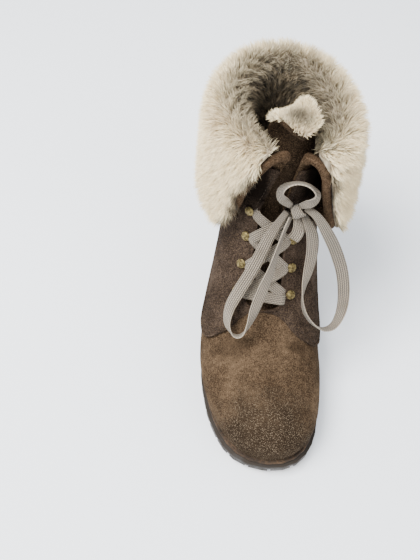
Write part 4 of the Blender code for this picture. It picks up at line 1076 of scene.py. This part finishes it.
crossings = [crossing("lace_cross_0", lace_mouth("lateral", 1, 0.001), lace_mouth("medial", 1, 0.004), 0)]
for k in range(1, 4):
    crossings.append(crossing(f"lace_cross_{2 * k - 1}", lace_mouth("medial", k), lace_mouth("lateral", k + 1), -1))
    crossings.append(crossing(f"lace_cross_{2 * k}", lace_mouth("lateral", k), lace_mouth("medial", k + 1), 1))
finished(crossings[0], LACE, "lace", "lace_bars")
for piece in crossings[1:]:
    finished(piece, LACE, "lace")

# %% Sides of the lace's slots
SLOT_HALF, SLOT_START, SLOT_END = 0.0043, -0.0015, 0.0058
slots = []
for side_name, k in studs:
    middle = studs[side_name, k][0]
    toward = (lace_mouth(side_name, k)[0] - middle).normalized()
    for way in (-1, 1):
        aside = down_row(side_name) * way * SLOT_HALF
        first, last = middle + toward * SLOT_START + aside, middle + toward * SLOT_END + aside
        line = [QUARTER_SKIN.find_nearest(first.lerp(last, t))[0] for t in np.linspace(0, 1, 6)]
        slots.append(np.array([tuple(p) for p in line]))
print("slot sides:", len(slots))

# %% [markdown]
# ## Stitches and rolled edges
#
# Stitches are short thick threads that follow an edge at an even pitch. The edges are found on the
# solids, as chains of sharp edges. A tree turns a chain into a curve, spaces points along it and
# plants a small thread at each. The quarter's front edge is rolled over, so a thin cord of suede
# runs along it. Thicker rolls follow the cuff's front edges, and fine ones the sides of the slots.

# %% Chains of edges
def chains(bm, wanted):
    """Lists of points along the edges that a test picks, one list for each unbroken run."""
    links = {}
    for edge in bm.edges:
        if wanted(edge):
            a, b = edge.verts
            links.setdefault(a, []).append(b)
            links.setdefault(b, []).append(a)
    found, seen = [], set()
    ends = [v for v in links if len(links[v]) != 2] + list(links)
    for first_vert in ends:
        for second_vert in links[first_vert]:
            if frozenset((first_vert, second_vert)) in seen:
                continue
            path = [first_vert, second_vert]
            seen.add(frozenset(path))
            while len(links[path[-1]]) == 2:
                onward = [v for v in links[path[-1]] if v is not path[-2]][0]
                if frozenset((path[-1], onward)) in seen:
                    break
                seen.add(frozenset((path[-1], onward)))
                path.append(onward)
            found.append(np.array([tuple(v.co) for v in path]))
    return [path for path in found if run_of(path)[-1] > 0.012]


def spaced(path, pitch):
    """Points along a path at an even spacing."""
    run = run_of(path)
    at = np.arange(0, run[-1], pitch)
    return np.stack([np.interp(at, run, path[:, i]) for i in range(3)], 1)


def inset(path, skin, distance, lift):
    """The path moved onto the skin beside it, away from the skin's edge."""
    path = spaced(path, 0.0012)
    kept = []
    for p, t in zip(path, unit(np.gradient(path, axis=0))):
        outward = Vector(p) - UPPER_SKIN.find_nearest(Vector(p))[0]
        if outward.length < 1e-5:
            continue
        step = outward.normalized().cross(Vector(t)).normalized() * distance
        tries = [(skin.find_nearest(Vector(p) + step * sign), Vector(p) + step * sign) for sign in (1, -1)]
        best = min(tries, key=lambda pair: (pair[0][0] - pair[1]).length)
        if (best[0][0] - best[1]).length < 0.0012:
            kept.append(tuple(best[0][0] + outward.normalized() * lift))
    return np.array(kept)


def above(path, test):
    """The runs of a path whose points pass a test."""
    runs, run = [], []
    for p in path:
        if test(p) and (not run or np.linalg.norm(p - run[-1]) < 0.004):
            run.append(p)
        else:
            if len(run) > 6:
                runs.append(np.array(run))
            run = [p] if test(p) else []
    return runs + ([np.array(run)] if len(run) > 6 else [])


def on_front(p):
    """Whether a point of a rim is on the quarter's front, which is rolled over."""
    return p[1] < 0.098 and 0.028 < p[2] < 0.150


def on_seam(p):
    """Whether a point beside a rim is where the seam runs."""
    return p[1] < 0.160 and 0.030 < p[2] < 0.172


front_edges, seam_lines = [], []
for side_name in SIDES:
    bm = merged(f"quarter_{side_name}", 1)
    away = {v: (v.co - UPPER_SKIN.find_nearest(v.co)[0]).length for v in bm.verts}

    def is_rim(edge):
        """Whether an edge borders the quarter's outer face."""
        sharp = len(edge.link_faces) == 2 and edge.calc_face_angle(0) > math.radians(42)
        return sharp and all(away[v] > 0.0014 for v in edge.verts)

    for path in chains(bm, is_rim):
        front_edges += above(path if len(path) < 8 else spaced(path, 0.0015), on_front)
        line = inset(path, QUARTER_SKIN, 0.0028, 0.00015)
        if len(line):
            seam_lines += above(line, on_seam)
    bm.free()
print("quarter edges:", len(front_edges), "seam lines:", len(seam_lines))

# %% Welt line
bm = merged("welt", 1)
welt_middle = sum((v.co for v in bm.verts), Vector()) / len(bm.verts)


def is_welt_edge(edge):
    """Whether an edge lies between the welt's top and its outer side."""
    if len(edge.link_faces) != 2 or edge.calc_face_angle(0) < math.radians(35):
        return False
    ups = sorted(face.normal.z for face in edge.link_faces)
    middle = (edge.verts[0].co + edge.verts[1].co) / 2
    side_face = min(edge.link_faces, key=lambda face: face.normal.z)
    off_x, off_y = middle.x - welt_middle.x, middle.y - welt_middle.y
    out = Vector((off_x, 0 if abs(off_y) < 0.09 else off_y, 0)).normalized()
    return ups[1] > 0.55 and abs(ups[0]) < 0.75 and side_face.normal.dot(out) > 0.2


welt_lines = []
for path in chains(bm, is_welt_edge):
    path = spaced(path, 0.0015)
    t = unit(np.gradient(path, axis=0))
    inward = unit(np.cross(t, (0, 0, 1.0)))
    middle = np.array(welt_middle)
    sign = np.sign(np.sum(inward * (middle - path) * np.array([1, 0.35, 0]), 1, keepdims=True))
    welt_lines.append(path + inward * sign * 0.0013 + np.array([0, 0, 0.0001]))
bm.free()
print("welt lines:", len(welt_lines), "longest in mm:", [round(1000 * float(run_of(p)[-1])) for p in welt_lines])

# %% Trees: stitches and piping
def lines_mesh(name, paths):
    """A mesh of edges along several paths."""
    points, edges = [], []
    for path in paths:
        first_index = len(points)
        points += [tuple(p) for p in path]
        edges += [(i, i + 1) for i in range(first_index, len(points) - 1)]
    made = bpy.data.meshes.new(name)
    made.from_pydata(points, edges, [])
    return made


def laid(name, paths, tree, material, slot, **values):
    """A finished piece that a tree makes along several paths."""
    finished(grown(name, lines_mesh(name, paths), tree, Finish=material, **values), material, slot)


stitches, start, end = geometry_tree(
    "stitches",
    [("Pitch", FLOAT, 0.0032), ("Length", FLOAT, 0.0011), ("Thickness", FLOAT, 0.00034), ("Finish", MATERIAL, None)],
)
dial = start.outputs
curve = add(stitches, "GeometryNodeMeshToCurve", {"Mesh": dial["Geometry"]}).outputs[0]
even = add(stitches, "GeometryNodeResampleCurve", {"Curve": curve, "Length": dial["Pitch"]}, mode="LENGTH")
tangent = add(stitches, "GeometryNodeInputTangent").outputs[0]
aim = add(stitches, "FunctionNodeAlignRotationToVector", {"Vector": tangent}, axis="X").outputs[0]
bead = add(stitches, "GeometryNodeMeshUVSphere", {"Segments": 8, "Rings": 5, "Radius": 1.0}).outputs["Mesh"]
size = combined(stitches, dial["Length"], dial["Thickness"], dial["Thickness"])
dressed(stitches, start, end, planted(stitches, even.outputs[0], bead, aim, size))

piping, start, end = geometry_tree("piping", [("Radius", FLOAT, 0.0011), ("Finish", MATERIAL, None)])
curve = add(piping, "GeometryNodeMeshToCurve", {"Mesh": start.outputs["Geometry"]}).outputs[0]
tube = {"Curve": curve, "Profile Curve": circle(piping, 10, start.outputs["Radius"]), "Fill Caps": True}
dressed(piping, start, end, add(piping, "GeometryNodeCurveToMesh", tube).outputs[0])

laid("seam_stitches", seam_lines, stitches, THREAD, "suede")
laid("welt_stitches", welt_lines, stitches, THREAD, "welt", Pitch=0.0042, Length=0.0016, Thickness=0.0005)
laid("rolled_edges", front_edges, piping, SUEDE_QUARTER, "suede", Radius=0.0010)
ROLL_OUT = {"medial": 0.0030, "lateral": -0.0030}
HEM_GAP = 5
cuff_edges = []
for side_name, path in CUFF_EDGES.items():
    path = eased(path, 8) * MM
    out = ROLL_OUT[side_name] * np.clip((0.196 - path[:, 2]) / 0.012, 0, 1)
    cuff_edges.append((path + np.stack([out, -0.6 * np.abs(out), 0 * out], 1))[:-HEM_GAP])
laid("cuff_rolls", cuff_edges, piping, SUEDE_EDGE, "suede", Radius=0.0031)
# The slot sides take the suede painted with shade
laid("slot_sides", slots, piping, SUEDE_IN_SHADE, "suede", Radius=0.0003)

# %% [markdown]
# ### The hem of the cuff
#
# The cuff's hem is turned in towards the shaft. A strip of suede from the hem to the nearest point of
# the shaft does this, and closes the gap that one would otherwise look through from above.

# %% Turned hem
HEM_TOP, HEM_RISE, HEM_SAG, SHAFT_GAP = 0.1239, 0.0035, 0.0015, 0.0008


def is_hem_edge(edge):
    """Whether an edge lies along the cuff's hem."""
    sharp = len(edge.link_faces) == 2 and edge.calc_face_angle(0) > 0.9
    return sharp and all(v.co.z < HEM_TOP for v in edge.verts)


bm = merged("cuff", 1)
hem = spaced(max(chains(bm, is_hem_edge), key=len), 0.003)
bm.free()
bm = bmesh.new()
rows = []
for p in hem:
    top = Vector(p) + Vector((0, 0, HEM_RISE))
    shaft = UPPER_SKIN.find_nearest(top)[0]
    away = (top - shaft).normalized() * SHAFT_GAP
    row = []
    for t in np.linspace(0, 1, 5):
        sag = Vector((0, 0, -HEM_SAG * math.sin(math.pi * t)))
        row.append(bm.verts.new(shaft + away + (top - shaft - 2 * away) * t + sag))
    rows.append(row)
for low, high in zip(rows, rows[1:]):
    for j in range(len(low) - 1):
        bm.faces.new((low[j], low[j + 1], high[j + 1], high[j]))
hem_strip = object_of("cuff_hem", bm)
hem_strip.modifiers.new("thickness", "SOLIDIFY").thickness = 0.0009
# The hem strip takes the suede painted with shade
finished(hem_strip, SUEDE_IN_SHADE, "suede")

# %% [markdown]
# ## Pile on the tongue
#
# The tongue is shearling too. Its free top bends over, so that its pile side faces up and the suede
# shows only as a rim. Hairs grow on the faces near the top that look up, with painted shade in the middle.

# %% Tongue pile
tongue = bpy.data.objects["tongue_suede"]


def on_tongue_top(centre, normal):
    """Whether a face of the tongue is on the pile side of its free top."""
    return centre.z > TONGUE_PILE and normal.z > 0.30


skin, area = patch_of(tongue.data, on_tongue_top)
spots = points_of(skin)
off_x = (spots[:, 0] - spots[:, 0].mean() + 0.001) / 0.0100
off_y = (spots[:, 1] - spots[:, 1].mean() + 0.0045) / 0.0080
# Painted shade: deep darkens the pad's pile towards its cupped middle
carry(skin, "deep", np.clip(1.15 - np.hypot(off_x, off_y), 0, 0.85))
tongue_hair = grown(
    "pile_tongue", skin, pile, Density=7000 / max(area, 1e-6), Length=0.0038, Width=0.0004, Comb=0.1, Tuft=0.5,
    Seed=31, Finish=FUR,
)
finished(tongue_hair, FUR, "fur")
print("tongue pile area in cm2:", round(area * 1e4, 1))

# %% [markdown]
# ## Sizes
#
# How far the dressed boot stands past the solids' box is printed, and the last line counts the
# triangles of every dressed piece.

# %% Sizes and finish
low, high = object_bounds()
past_low = [round(1000 * (a - b), 1) for a, b in zip(solid_low, low)]
past_high = [round(1000 * (b - a), 1) for a, b in zip(solid_high, high)]
print("grown by in mm:", past_low, past_high)
dressing = [o for o in scene.objects if o.type == "MESH" and "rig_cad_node" not in o]
print("dressed triangles:", sum(triangles(o) for o in dressing))
